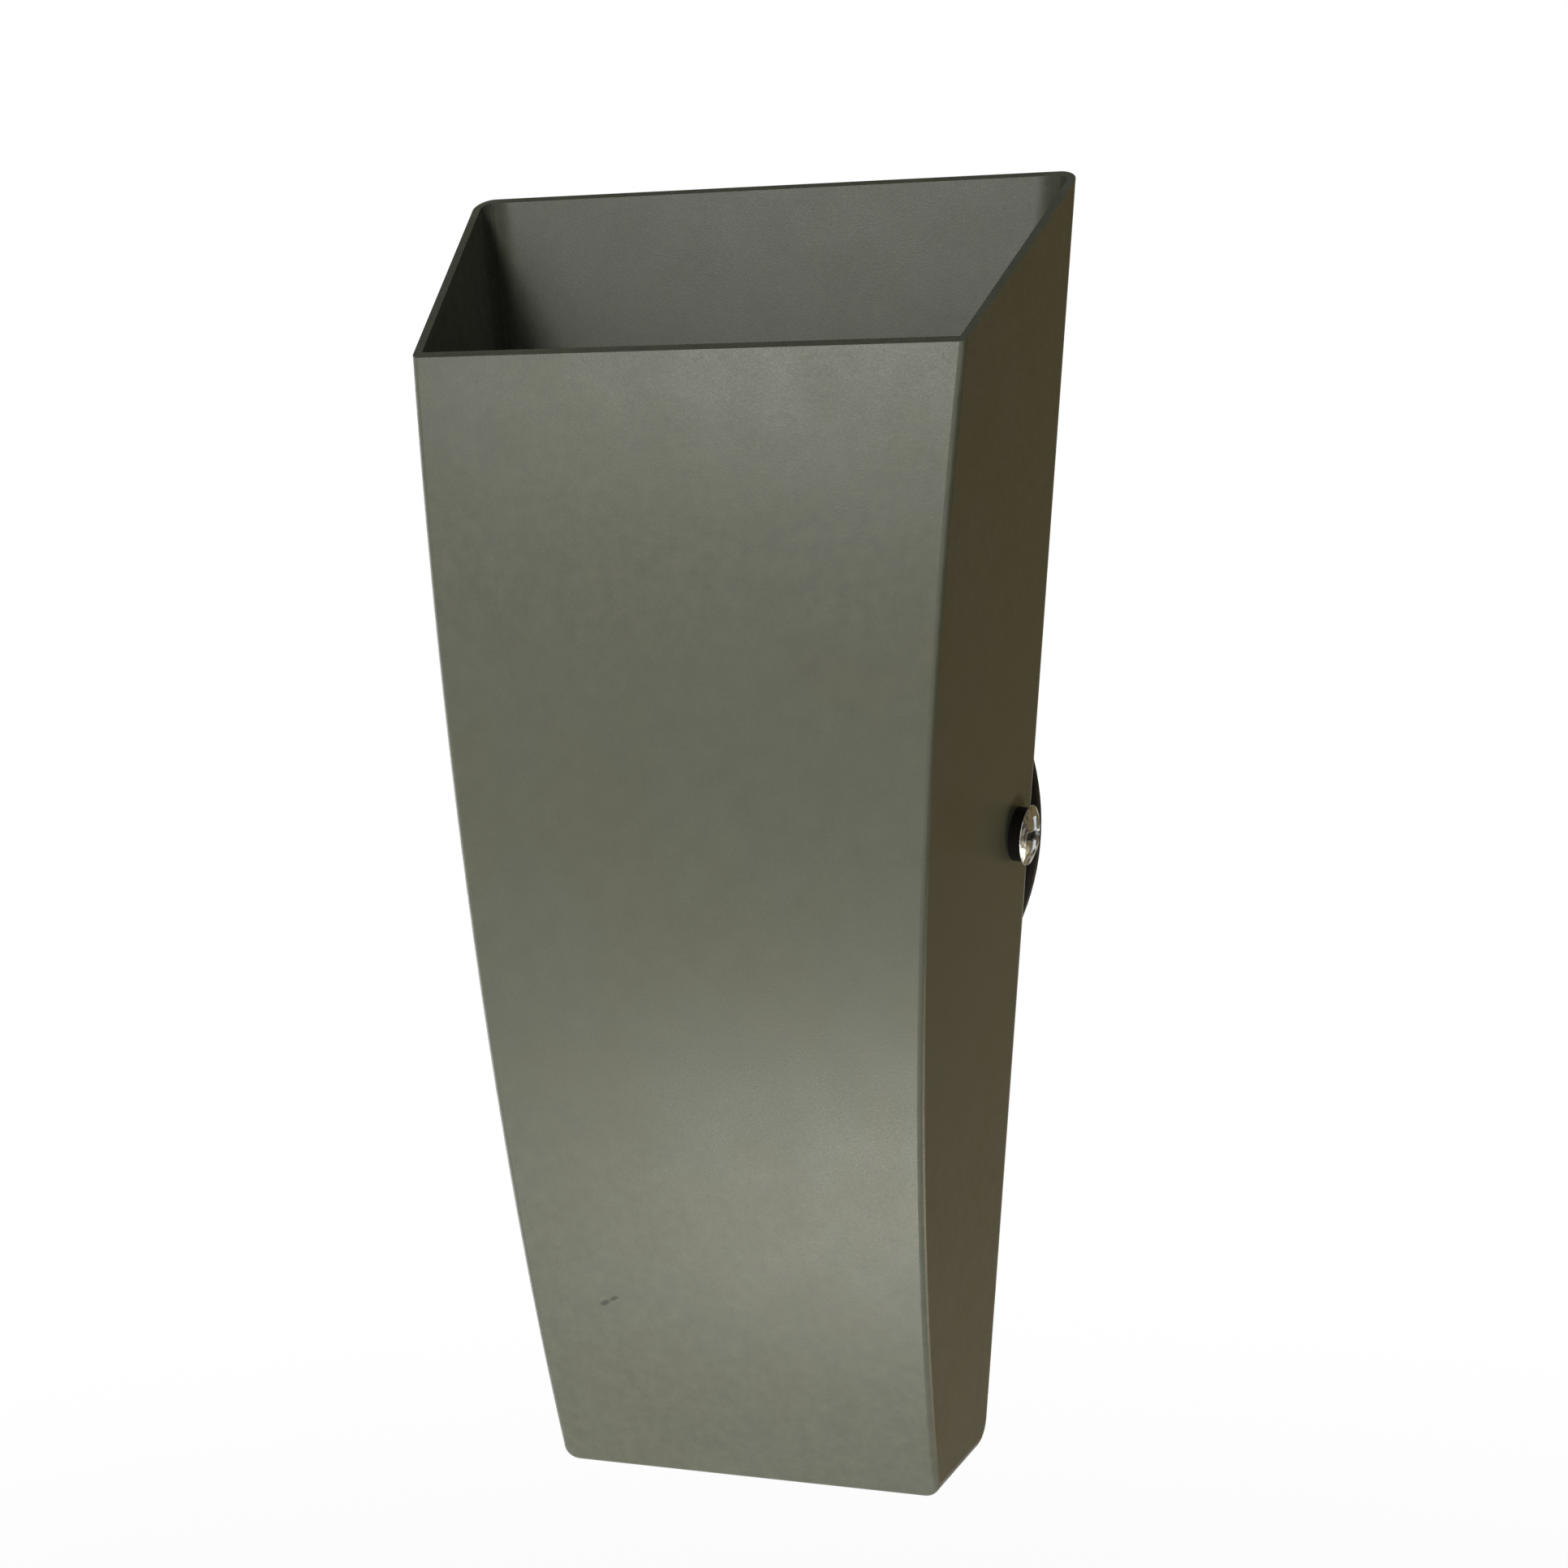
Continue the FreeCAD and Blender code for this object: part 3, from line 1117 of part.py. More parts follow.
# Side screws with their washers and pressed nuts, along the normal of each side wall
side_nuts, side_washers = [], []
for side_name, side in (("right", RIGHT), ("left", LEFT)):
    frame = side_frame(side)
    bore, spigot, flange = "side_nut_bore / 2", "side_nut_spigot / 2", "side_nut_diameter / 2"
    nut_end = "-shade_wall - side_nut_height"
    nut = turned(f"side_nut_{side_name}", [
        (bore, nut_end), (flange, nut_end), (flange, "-shade_wall"), (spigot, "-shade_wall"),
        (spigot, "0"), (bore, "0")])
    nut.Placement = frame
    side_nuts.append(nut)
    rim = "side_washer_diameter / 2"
    side_washer = turned(f"side_washer_{side_name}", [
        (bore, "0"), (rim, "0"), (rim, "side_washer_sheet"), (bore, "side_washer_sheet")])
    side_washer.Placement = frame
    side_washers.append(side_washer)
    shank, head = "side_screw_diameter / 2", "side_head_diameter / 2"
    tip = f"{nut_end} - side_tip_reach"
    brow = "side_washer_sheet + side_head_flank"
    screw = turned(f"side_screw_{side_name}", [
        ("0", tip), (f"{shank} - side_tip_chamfer", tip), (shank, f"{tip} + side_tip_chamfer"),
        (shank, "side_washer_sheet"), (head, "side_washer_sheet"), (head, brow),
        ("0", f"{brow} + side_head_dome", "side_dome", CCW)])
    cross_recess(screw, f"side_recess_{side_name}", f"{brow} + side_head_dome",
                 "side_recess_length", "side_recess_width", "side_recess_depth")
    screw.Placement = frame
    nodes[f"side_screw_{side_name}"] = screw
group("side_nuts", side_nuts)
group("side_washers", side_washers)

# Check and write every node
doc.recompute()
for item in doc.Objects:
    if "Invalid" in item.State or "Error" in item.State:
        raise RuntimeError(f"{item.Name} failed: {item.State}")
os.makedirs("parts", exist_ok=True)
for name, piece in sorted(nodes.items()):
    if piece.Shape.isNull() or not piece.Shape.isValid():
        raise RuntimeError(f"{name} has no valid shape")
    piece.Shape.exportStep(f"parts/{name}.step")
    print(name, len(piece.Shape.Solids), "solids", round(piece.Shape.Volume, 1), "mm3")
print(len(nodes), "nodes")
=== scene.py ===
"""Dress of a tapered metal wall lamp: its finishes, fine pieces, studio and viewpoint.

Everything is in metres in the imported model's frame: X to the right, -Y out of the wall into
the room, Z up, with the origin on the wall level with the two side screws. The sizes of the
shade, screws, filament, leads and viewpoint are fields in millimetres.
"""
import logging
import math
from dataclasses import dataclass
from enum import Enum

import bmesh
import bpy
import numpy as np
from mathutils import Matrix, Vector

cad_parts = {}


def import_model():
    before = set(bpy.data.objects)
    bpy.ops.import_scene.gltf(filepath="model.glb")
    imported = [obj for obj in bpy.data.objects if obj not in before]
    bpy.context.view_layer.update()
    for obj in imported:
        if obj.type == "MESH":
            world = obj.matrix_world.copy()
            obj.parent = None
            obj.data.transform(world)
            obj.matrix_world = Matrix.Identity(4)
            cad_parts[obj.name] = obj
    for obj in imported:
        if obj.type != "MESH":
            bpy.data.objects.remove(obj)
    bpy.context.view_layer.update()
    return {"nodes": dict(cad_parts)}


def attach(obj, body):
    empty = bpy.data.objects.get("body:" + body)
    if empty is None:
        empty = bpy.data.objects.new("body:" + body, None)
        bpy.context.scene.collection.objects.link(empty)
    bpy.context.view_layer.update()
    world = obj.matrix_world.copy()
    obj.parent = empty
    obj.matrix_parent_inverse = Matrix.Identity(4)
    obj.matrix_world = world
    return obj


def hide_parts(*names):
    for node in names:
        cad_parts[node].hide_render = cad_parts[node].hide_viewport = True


MM = 0.001
TURN = 2 * math.pi
WELD = 0.0005 * MM
LOG = logging.getLogger("wall_lamp")
Number = float | int
Point = tuple[float, float, float]
Colour = tuple[float, float, float]
# The value at which a share is 0, and the value at which it is 1.
Band = tuple[float, float]
# Places of the colour sockets on a Mix node.
MIX_FIRST, MIX_SECOND, MIX_RESULT = 6, 7, 2


@dataclass(frozen=True)
class ShadeForm:
    """Driving dimensions of the shade, in millimetres and degrees, as its solid has them."""

    height: float = 240.0
    front_height: float = 208.0
    top_depth: float = 54.2
    foot_width: float = 81.4
    top_width: float = 117.0
    flare_angle: float = 8.2
    back: float = 5.3
    screw_height: float = 121.3
    screw_inset: float = 10.4

    @property
    def flare(self) -> float:
        """How much a side leans outwards for each millimetre towards the wall."""
        return math.tan(math.radians(self.flare_angle))

    @property
    def taper(self) -> float:
        """How much a side leans outwards for each millimetre upwards."""
        return (self.top_width - self.foot_width) / 2 / self.height

    @property
    def rim_slope(self) -> float:
        """Rise of the sloping rim for each millimetre towards the wall."""
        return (self.height - self.front_height) / self.top_depth

    @property
    def rim_height(self) -> float:
        """Level of the rim at the back."""
        return self.height - self.screw_height

    def half_width(self, out: float) -> float:
        """Half width at the level of the screws, so many millimetres out from the back."""
        return self.foot_width / 2 + self.taper * self.screw_height - self.flare * out

    def outward(self, side: int) -> np.ndarray:
        """Unit normal of a side wall: one across, less the flare, less the taper."""
        normal = np.array([side, -self.flare, -self.taper])
        return normal / np.linalg.norm(normal)

    def screw_seat(self, side: int) -> np.ndarray:
        """Where a side screw's axis meets the outer face of its wall, in metres."""
        across = side * self.half_width(self.screw_inset)
        return np.array([across, -self.back - self.screw_inset, 0.0]) * MM


FORM = ShadeForm()


def srgb(red: Number, green: Number, blue: Number) -> Colour:
    """Linear colour of three display values from 0 to 255, by the standard sRGB curve.

    Each value's share of 255 is divided by 12.92 up to 0.04045, and goes through a power of
    2.4 above that.

    Args:
        red: display value of red.
        green: display value of green.
        blue: display value of blue.

    Returns:
        The three linear shares.
    """
    shares = np.array([red, green, blue]) / 255
    low, high = shares / 12.92, ((shares + 0.055) / 1.055) ** 2.4
    return tuple(float(v) for v in np.where(shares <= 0.04045, low, high))


def tinted(colour: Colour, tint: Colour) -> Colour:
    """A colour with each of its parts times the tint's."""
    return tuple(part * share for part, share in zip(colour, tint))


class Socket:
    """An output of a shader node, whose arithmetic adds Math nodes."""

    def __init__(self, shader: "Shader", output: bpy.types.NodeSocket) -> None:
        """Keep the output and the shader that it belongs to."""
        self.shader = shader
        self.output = output

    def math(self, operation: str, *others: "Socket | Number") -> "Socket":
        """Result of one Math node whose first value is this one.

        Args:
            operation: the Math node's operation.
            others: its further values.

        Returns:
            The node's output.
        """
        values = dict(enumerate((self, *others)))
        return self.shader.node("ShaderNodeMath", {"operation": operation}, values)

    def __add__(self, other: "Socket | Number") -> "Socket":
        """Sum."""
        return self.math("ADD", other)

    def __radd__(self, other: Number) -> "Socket":
        """Sum with a number on the left."""
        return self.math("ADD", other)

    def __sub__(self, other: "Socket | Number") -> "Socket":
        """Difference."""
        return self.math("SUBTRACT", other)

    def __rsub__(self, other: Number) -> "Socket":
        """Difference from a number on the left."""
        return self.shader.node("ShaderNodeMath", {"operation": "SUBTRACT"}, {0: other, 1: self})

    def __mul__(self, other: "Socket | Number") -> "Socket":
        """Product."""
        return self.math("MULTIPLY", other)

    def __rmul__(self, other: Number) -> "Socket":
        """Product with a number on the left."""
        return self.math("MULTIPLY", other)

    def __abs__(self) -> "Socket":
        """Size without its sign."""
        return self.math("ABSOLUTE")

    def capped(self) -> "Socket":
        """The value, but at most 1."""
        return self.math("MINIMUM", 1.0)

    def step(self, low: Number, high: Number) -> "Socket":
        """Smooth rise from 0 at low to 1 at high, which may stand in either order.

        Args:
            low: value at which the result is 0.
            high: value at which the result is 1.

        Returns:
            The eased share, 3t^2 - 2t^3 of the way t from low to high.
        """
        if low > high:
            return 1 - self.step(high, low)
        return self.shader.node("ShaderNodeMapRange", {"interpolation_type": "SMOOTHSTEP"},
                                {"Value": self, "From Min": low, "From Max": high})


@dataclass(frozen=True)
class Cloud:
    """A noise: size of its blotches in metres, full swing about its middle, finer layers."""

    size: float
    swing: float = 1.0
    detail: float = 2.0


class Shader:
    """The node tree of a material or of the world, with one method that adds any node.

    Each finer layer of a noise weighs layer_share of the one before.
    """

    layer_share: float = 0.55

    def __init__(self, owner: bpy.types.Material | bpy.types.World) -> None:
        """Empty the owner's tree and give it an output.

        Args:
            owner: the material or world.
        """
        owner.use_nodes = True
        self.tree = owner.node_tree
        self.tree.nodes.clear()
        kind = "World" if isinstance(owner, bpy.types.World) else "Material"
        self.end = self.tree.nodes.new(f"ShaderNodeOutput{kind}")

    def node(self, kind: str, settings: dict | None = None, inputs: dict | None = None,
             output: int | str = 0) -> Socket:
        """Add a node.

        Args:
            kind: the node's type.
            settings: its own settings, which are set first.
            inputs: values or links of its sockets, by name or place.
            output: which output to return, by name or place.

        Returns:
            That output.
        """
        made = self.tree.nodes.new(kind)
        for name, value in (settings or {}).items():
            setattr(made, name, value)
        for name, value in (inputs or {}).items():
            if isinstance(value, Socket):
                self.tree.links.new(value.output, made.inputs[name])
            elif isinstance(value, tuple) and made.inputs[name].type == "RGBA":
                made.inputs[name].default_value = (*value, 1.0)
            else:
                made.inputs[name].default_value = value
        return Socket(self, made.outputs[output])

    def close(self, shader: Socket) -> None:
        """Join the finished shader to the tree's output."""
        self.tree.links.new(shader.output, self.end.inputs["Surface"])

    def surface(self, **sockets: "Socket | Number | Colour") -> None:
        """Finish the tree with a Principled shader.

        Args:
            sockets: the shader's sockets, named with underscores for spaces.
        """
        named = {name.replace("_", " "): value for name, value in sockets.items()}
        self.close(self.node("ShaderNodeBsdfPrincipled", inputs=named))

    def glow(self, colour: Colour) -> Socket:
        """Light of one colour, which shows as the colour itself."""
        return self.node("ShaderNodeEmission", inputs={"Color": colour, "Strength": 1.0})

    def place(self) -> Socket:
        """The piece's own coordinates, in metres."""
        return self.node("ShaderNodeTexCoord", output="Object")

    def facing(self) -> Socket:
        """The face's own normal."""
        return self.node("ShaderNodeNewGeometry", output="True Normal")

    def seen(self) -> Socket:
        """1 for rays of the camera, of gloss and through glass, 0 for the rest: their sum."""
        camera, gloss, glass = (self.node("ShaderNodeLightPath", output=f"Is {kind} Ray")
                                for kind in ("Camera", "Glossy", "Transmission"))
        return (camera + gloss + glass).capped()

    def axes(self, vector: Socket) -> tuple[Socket, Socket, Socket]:
        """The three numbers of a vector."""
        split = self.node("ShaderNodeSeparateXYZ", inputs={0: vector})
        return tuple(Socket(self, output) for output in split.output.node.outputs)

    def noise(self, vector: Socket, cloud: Cloud) -> Socket:
        """A cloud's noise at a place: a share from 0 to 1, mostly near a half.

        Args:
            vector: where it is read.
            cloud: its size and detail.

        Returns:
            The share.
        """
        return self.node("ShaderNodeTexNoise", inputs={
            "Vector": vector, "Scale": 1 / cloud.size, "Detail": cloud.detail,
            "Roughness": self.layer_share})

    def sway(self, vector: Socket, cloud: Cloud) -> Socket:
        """A cloud's noise less a half, times its swing."""
        return (self.noise(vector, cloud) - 0.5) * cloud.swing

    def cells(self, vector: Socket, size: float, output: str) -> Socket:
        """Cells of a size: the distance to the nearest centre, or a colour for each cell."""
        inputs = {"Vector": vector, "Scale": 1 / size}
        return self.node("ShaderNodeTexVoronoi", inputs=inputs, output=output)

    def scaled(self, colour: Socket | Colour, share: Socket | Number) -> Socket:
        """A colour made lighter or darker by a share."""
        inputs = {0: colour, "Scale": share}
        return self.node("ShaderNodeVectorMath", {"operation": "SCALE"}, inputs)

    def mixed(self, share: Socket | Number, first: Socket | Colour,
              second: Socket | Colour) -> Socket:
        """First colour where the share is 0, second where it is 1."""
        inputs = {"Factor": share, MIX_FIRST: first, MIX_SECOND: second}
        return self.node("ShaderNodeMix", {"data_type": "RGBA"}, inputs, MIX_RESULT)

    def bump(self, height: Socket, depth: float, strength: float = 1.0,
             over: Socket | None = None) -> Socket:
        """Normal of a relief.

        Args:
            height: share of the full height at each place.
            depth: the full height, in metres.
            strength: how much of the relief tilts the normal.
            over: normal of a coarser relief that this one lies on, if any.

        Returns:
            The tilted normal.
        """
        inputs = {"Strength": strength, "Distance": depth, "Height": height}
        if over is not None:
            inputs["Normal"] = over
        return self.node("ShaderNodeBump", inputs=inputs)


@dataclass(frozen=True)
class Finish:
    """A finish with cloudy tone and fine relief; its kinds below add their own marks.

    Sizes, depths and places are in metres, colours are linear, and a swing is the full range
    of a noise about its middle.
    """

    name: str
    colour: Colour
    roughness: float
    metallic: float = 0.0
    cloud_swing: float = 0.24
    cloud_size: float = 12 * MM
    grain_size: float = 0.4 * MM
    grain_depth: float = 0.012 * MM
    gloss_swing: float = 0.12
    gloss_finer: float = 3.0
    specular: float = 0.5

    def tone(self, shader: Shader, place: Socket) -> Socket:
        """Colour over the surface: the plain colour times one plus a centred noise."""
        cloud = Cloud(self.cloud_size, self.cloud_swing)
        return shader.scaled(self.colour, 1 + shader.sway(place, cloud))

    def gloss(self, shader: Shader, place: Socket) -> Socket:
        """Roughness over the surface: the plain value plus a finer centred noise."""
        cloud = Cloud(self.cloud_size / self.gloss_finer, self.gloss_swing)
        return self.roughness + shader.sway(place, cloud)

    def grain(self, shader: Shader, place: Socket) -> Socket:
        """Height of the fine grain, as a share."""
        return shader.noise(place, Cloud(self.grain_size))

    def relief(self, shader: Shader, place: Socket) -> Socket:
        """Normal of the fine grain."""
        return shader.bump(self.grain(shader, place), self.grain_depth)

    def lay(self, shader: Shader) -> None:
        """Lay the tone, gloss and relief on an empty material.

        Args:
            shader: the material's tree.
        """
        place = shader.place()
        shader.surface(
            Base_Color=self.tone(shader, place), Roughness=self.gloss(shader, place),
            Metallic=self.metallic, Specular_IOR_Level=self.specular,
            Normal=self.relief(shader, place))

    def material(self) -> bpy.types.Material:
        """The finish as a material, made once.

        Returns:
            The material.
        """
        made = bpy.data.materials.get(self.name)
        if made is None:
            made = bpy.data.materials.new(self.name)
            self.lay(Shader(made))
        return made


@dataclass(frozen=True)
class Spot:
    """A soft oval spot of the nick: its middle along and across the slant, its half sizes."""

    along: float
    across: float
    reach: float
    breadth: float


@dataclass(frozen=True)
class SatinShade(Finish):
    """Baked satin coat of the shade: sandy grain, faint stains, specks by the rim, one nick."""

    # Tone.
    warm: Colour = (0.97, 0.97, 0.97)
    cool: Colour = (0.98, 1.0, 1.06)
    patches: Cloud = Cloud(26 * MM, detail=3.0)
    patch_band: Band = (0.36, 0.64)
    stains: Cloud = Cloud(4.5 * MM, 0.22, 3.0)
    sand: Cloud = Cloud(0.35 * MM, 0.22, 1.0)
    mottles: Cloud = Cloud(2.2 * MM, 0.42)
    plain_level: float = -5 * MM
    mottle_band: Band = (25 * MM, 60 * MM)
    dark_specks: Cloud = Cloud(1.1 * MM, 0.3)
    light_specks: Cloud = Cloud(0.8 * MM, 0.18)
    light_shift: Point = (0.3, 0.1, 0.2)
    speck_band: Band = (0.64, 0.7)
    rim_band: Band = (16 * MM, 1 * MM)
    # Inner faces and corners: painted shade on the inner side faces, and duller gloss.
    inner_band: Band = (-3 * MM, -16 * MM)
    inner_painted_shade: float = 0.35
    inner_dullness: float = 0.55
    corner_band: Band = (-8 * MM, -4 * MM)
    front_facing_band: Band = (-0.2, -0.6)
    back_wall_band: Band = (-14 * MM, -10 * MM)
    # Gloss and relief.
    gloss_patches: Cloud = Cloud(9 * MM, 0.1, 3.0)
    gloss_sand: Cloud = Cloud(0.35 * MM, 0.16, 1.0)
    waves: Cloud = Cloud(22 * MM, detail=1.0)
    wave_depth: float = 0.09 * MM
    grain_strength: float = 0.8
    # The nick, at its place across and up.
    nick_place: tuple[float, float] = (-22.1 * MM, -83.9 * MM)
    nick_slant: float = math.radians(28)
    nick_front_band: Band = (-25 * MM, -30 * MM)
    spot_band: Band = (1.5, 0.4)
    # Painted highlight: the next spot and its gain lighten the paint beside the nick.
    nick_highlight_spot: Spot = Spot(-0.9 * MM, 0.95 * MM, 0.7 * MM, 0.45 * MM)
    nick_highlight_gain: float = 0.12
    left_spot: Spot = Spot(-1.1 * MM, -0.1 * MM, 1.05 * MM, 0.5 * MM)
    right_spot: Spot = Spot(1.05 * MM, 0.0, 0.95 * MM, 0.42 * MM)
    bare_colour: Colour = srgb(50, 50, 40)
    bare_cover: float = 0.9

    def tone(self, shader: Shader, place: Socket) -> Socket:
        """Colour: warm and cool patches times the lightness, and bare metal in the nick.

        One spot beside the nick is lightened: a painted highlight.

        Args:
            shader: the material under construction.
            place: object coordinates.

        Returns:
            The colour.
        """
        patches = shader.noise(place, self.patches).step(*self.patch_band)
        coat = shader.mixed(patches, tinted(self.colour, self.warm),
                            tinted(self.colour, self.cool))
        # Painted highlight on the nick's lip.
        raised = self.mark(shader, place, self.nick_highlight_spot) * self.nick_highlight_gain
        coat = shader.scaled(coat, self.lightness(shader, place) * (1 + raised))
        bare = (self.mark(shader, place, self.left_spot)
                + self.mark(shader, place, self.right_spot)).capped()
        return shader.mixed(bare * self.bare_cover, coat, self.bare_colour)

    def lightness(self, shader: Shader, place: Socket) -> Socket:
        """Share of the colour: stains, sand, mottles to both ends, specks by the rim.

        It is one, plus each of these centred noises, less painted shade on the inner side faces.

        Args:
            shader: the material under construction.
            place: object coordinates.

        Returns:
            The share, near 1.
        """
        _, _, up = shader.axes(place)
        ends = abs(up - self.plain_level).step(*self.mottle_band)
        mottles = shader.sway(place, self.mottles) * ends
        by_rim = self.by_rim(shader, place)
        dark = shader.noise(place, self.dark_specks).step(*self.speck_band) * by_rim
        moved = shader.node("ShaderNodeVectorMath", {"operation": "ADD"},
                            {0: place, 1: self.light_shift})
        light = shader.noise(moved, self.light_specks).step(*self.speck_band) * by_rim
        clouds = shader.sway(place, self.stains) + shader.sway(place, self.sand) + mottles
        specks = light * self.light_specks.swing - dark * self.dark_specks.swing
        # Painted shade: the inner side faces are darkened here.
        return 1 + clouds + specks - self.inwards(shader, place) * self.inner_painted_shade

    def by_rim(self, shader: Shader, place: Socket) -> Socket:
        """Share that fades over 15 mm below the sloping rim.

        The rim's plane rises from its level at the back by its slope, and the share is read
        from how far the place lies below it.

        Args:
            shader: the material under construction.
            place: object coordinates.

        Returns:
            The share.
        """
        _, depth, up = shader.axes(place)
        rim = (depth + FORM.back * MM) * FORM.rim_slope + FORM.rim_height * MM
        return (rim - up).step(*self.rim_band)

    def mark(self, shader: Shader, place: Socket, spot: Spot) -> Socket:
        """One soft slanted spot of the nick, on the front face alone.

        The distances along and across the slant, each over its half size, are squared and
        added, and the share falls where that sum is about 1.

        Args:
            shader: the material under construction.
            place: object coordinates.
            spot: its middle and half sizes.

        Returns:
            A share that is 1 in the spot and fades at its edge.
        """
        side, depth, up = shader.axes(place)
        right, lift = side - self.nick_place[0], up - self.nick_place[1]
        cos, sin = math.cos(self.nick_slant), math.sin(self.nick_slant)
        along = (right * cos + lift * sin - spot.along) * (1 / spot.reach)
        across = (lift * cos - right * sin - spot.across) * (1 / spot.breadth)
        oval = (along * along + across * across).step(*self.spot_band)
        return oval * depth.step(*self.nick_front_band)

    def inwards(self, shader: Shader, place: Socket) -> Socket:
        """Share on a side's inner face, where its normal times its place is negative.

        Args:
            shader: the material under construction.
            place: object coordinates.

        Returns:
            The share.
        """
        across, _, _ = shader.axes(shader.facing())
        side, _, _ = shader.axes(place)
        return (across * side).step(*self.inner_band)

    def corner(self, shader: Shader, place: Socket) -> Socket:
        """Share on the back wall's inner face that grows within 8 mm of a side's plane.

        Args:
            shader: the material under construction.
            place: object coordinates.

        Returns:
            The product of three steps: nearness to the side's plane, whose half width grows
            by the taper and the flare, a normal to the front, and nearness to the back.
        """
        _, out, _ = shader.axes(shader.facing())
        side, depth, up = shader.axes(place)
        half = FORM.half_width(-FORM.back) * MM
        beyond = abs(side) - up * FORM.taper - depth * FORM.flare - half
        facing = out.step(*self.front_facing_band)
        return beyond.step(*self.corner_band) * facing * depth.step(*self.back_wall_band)

    def gloss(self, shader: Shader, place: Socket) -> Socket:
        """Roughness: cloudy, duller on the sand's crests and on the inner side faces.

        Args:
            shader: the material under construction.
            place: object coordinates.

        Returns:
            The plain roughness plus two centred noises plus the inner dullness.
        """
        outside = (self.roughness + shader.sway(place, self.gloss_patches)
                   + shader.sway(place, self.gloss_sand))
        inner = (self.inwards(shader, place) + self.corner(shader, place)).capped()
        return outside + inner * self.inner_dullness

    def relief(self, shader: Shader, place: Socket) -> Socket:
        """Sandy grain over a faint unevenness of the pressed sheet."""
        waves = shader.bump(shader.noise(place, self.waves), self.wave_depth)
        return shader.bump(self.grain(shader, place), self.grain_depth, self.grain_strength, waves)


@dataclass(frozen=True)
class Galvanised(Finish):
    """Zinc plating: soft spangles that differ in tone and gloss from cell to cell."""

    spangle_size: float = 1.6 * MM
    darkest: float = 0.86
    spangle_swing: float = 0.16
    cloud_swing: float = 0.3

    def spangle(self, shader: Shader, place: Socket) -> tuple[Socket, Socket, Socket]:
        """Three shares that are the same all over one spangle."""
        return shader.axes(shader.cells(place, self.spangle_size, "Color"))

    def tone(self, shader: Shader, place: Socket) -> Socket:
        """Colour: the darkest share, plus each spangle's own, plus a centred noise.

        Args:
            shader: the material under construction.
            place: object coordinates.

        Returns:
            The colour.
        """
        spangle = self.darkest + self.spangle(shader, place)[0] * self.spangle_swing
        cloud = Cloud(self.cloud_size, self.cloud_swing)
        return shader.scaled(self.colour, spangle + shader.sway(place, cloud))

    def gloss(self, shader: Shader, place: Socket) -> Socket:
        """Roughness: the plain value plus each spangle's own."""
        return self.roughness + (self.spangle(shader, place)[1] - 0.5) * self.gloss_swing


@dataclass(frozen=True)
class Tarnished(Finish):
    """Bare brass or steel with brown tarnish in cloudy patches."""

    tarnish: Colour = (0.12, 0.07, 0.03)
    patch_size: float = 2.5 * MM
    patch_detail: float = 4.0
    cover: float = 0.45
    thin: float = 0.5
    thick: float = 0.75
    thick_fall: float = 0.25

    def tone(self, shader: Shader, place: Socket) -> Socket:
        """Colour: bright metal with tarnish where the cloud is thick.

        The more the tarnish covers, the lower the level at which a patch is full.

        Args:
            shader: the material under construction.
            place: object coordinates.

        Returns:
            The colour.
        """
        patches = shader.noise(place, Cloud(self.patch_size, detail=self.patch_detail))
        full = self.thick - self.cover * self.thick_fall
        share = patches.step(self.thin, full) * self.cover
        return shader.mixed(share, self.colour, self.tarnish)


@dataclass(frozen=True)
class Worn(Tarnished):
    """Bright steel with shallow dents, and painted shade where the piece's own share of it says
    so.
    """

    # Painted shade in the cross recess: its colour, how much it covers, and how much duller it is.
    recess_shading: Colour = (0.02, 0.018, 0.013)
    recess_shading_cover: float = 0.93
    recess_dullness: float = 0.5
    dents: Cloud = Cloud(2.0 * MM, detail=1.0)
    dent_depth: float = 0.4 * MM

    def recess_shade(self, shader: Shader) -> Socket:
        """The piece's own share of painted shade, which is 0 on a piece that has none."""
        return shader.node("ShaderNodeAttribute", {"attribute_name": "recess_shade"}, output="Fac")

    def tone(self, shader: Shader, place: Socket) -> Socket:
        """Colour: tarnished metal that goes nearly black in the painted shade."""
        recess_shade = self.recess_shade(shader) * self.recess_shading_cover
        return shader.mixed(recess_shade, super().tone(shader, place), self.recess_shading)

    def gloss(self, shader: Shader, place: Socket) -> Socket:
        """Roughness: cloudy, and dull where the shade is painted."""
        return super().gloss(shader, place) + self.recess_shade(shader) * self.recess_dullness

    def relief(self, shader: Shader, place: Socket) -> Socket:
        """Fine grain over shallow dents."""
        dents = shader.bump(shader.noise(place, self.dents), self.dent_depth)
        return shader.bump(self.grain(shader, place), self.grain_depth, over=dents)


@dataclass(frozen=True)
class Speckled(Finish):
    """Unglazed ceramic, slightly clouded, with sparse iron specks."""

    cloud_swing: float = 0.14
    speck_spacing: float = 1.3 * MM
    speck_band: Band = (0.13, 0.07)
    choice: Cloud = Cloud(3 * MM)
    choice_band: Band = (0.5, 0.56)
    speck_colour: Colour = srgb(120, 92, 62)
    speck_cover: float = 0.7

    def tone(self, shader: Shader, place: Socket) -> Socket:
        """Colour: the pale body, with a brown speck at the centre of each chosen cell.

        Args:
            shader: the material under construction.
            place: object coordinates.

        Returns:
            The colour.
        """
        pale = super().tone(shader, place)
        specks = shader.cells(place, self.speck_spacing, "Distance").step(*self.speck_band)
        chosen = shader.noise(place, self.choice).step(*self.choice_band)
        return shader.mixed(specks * chosen * self.speck_cover, pale, self.speck_colour)


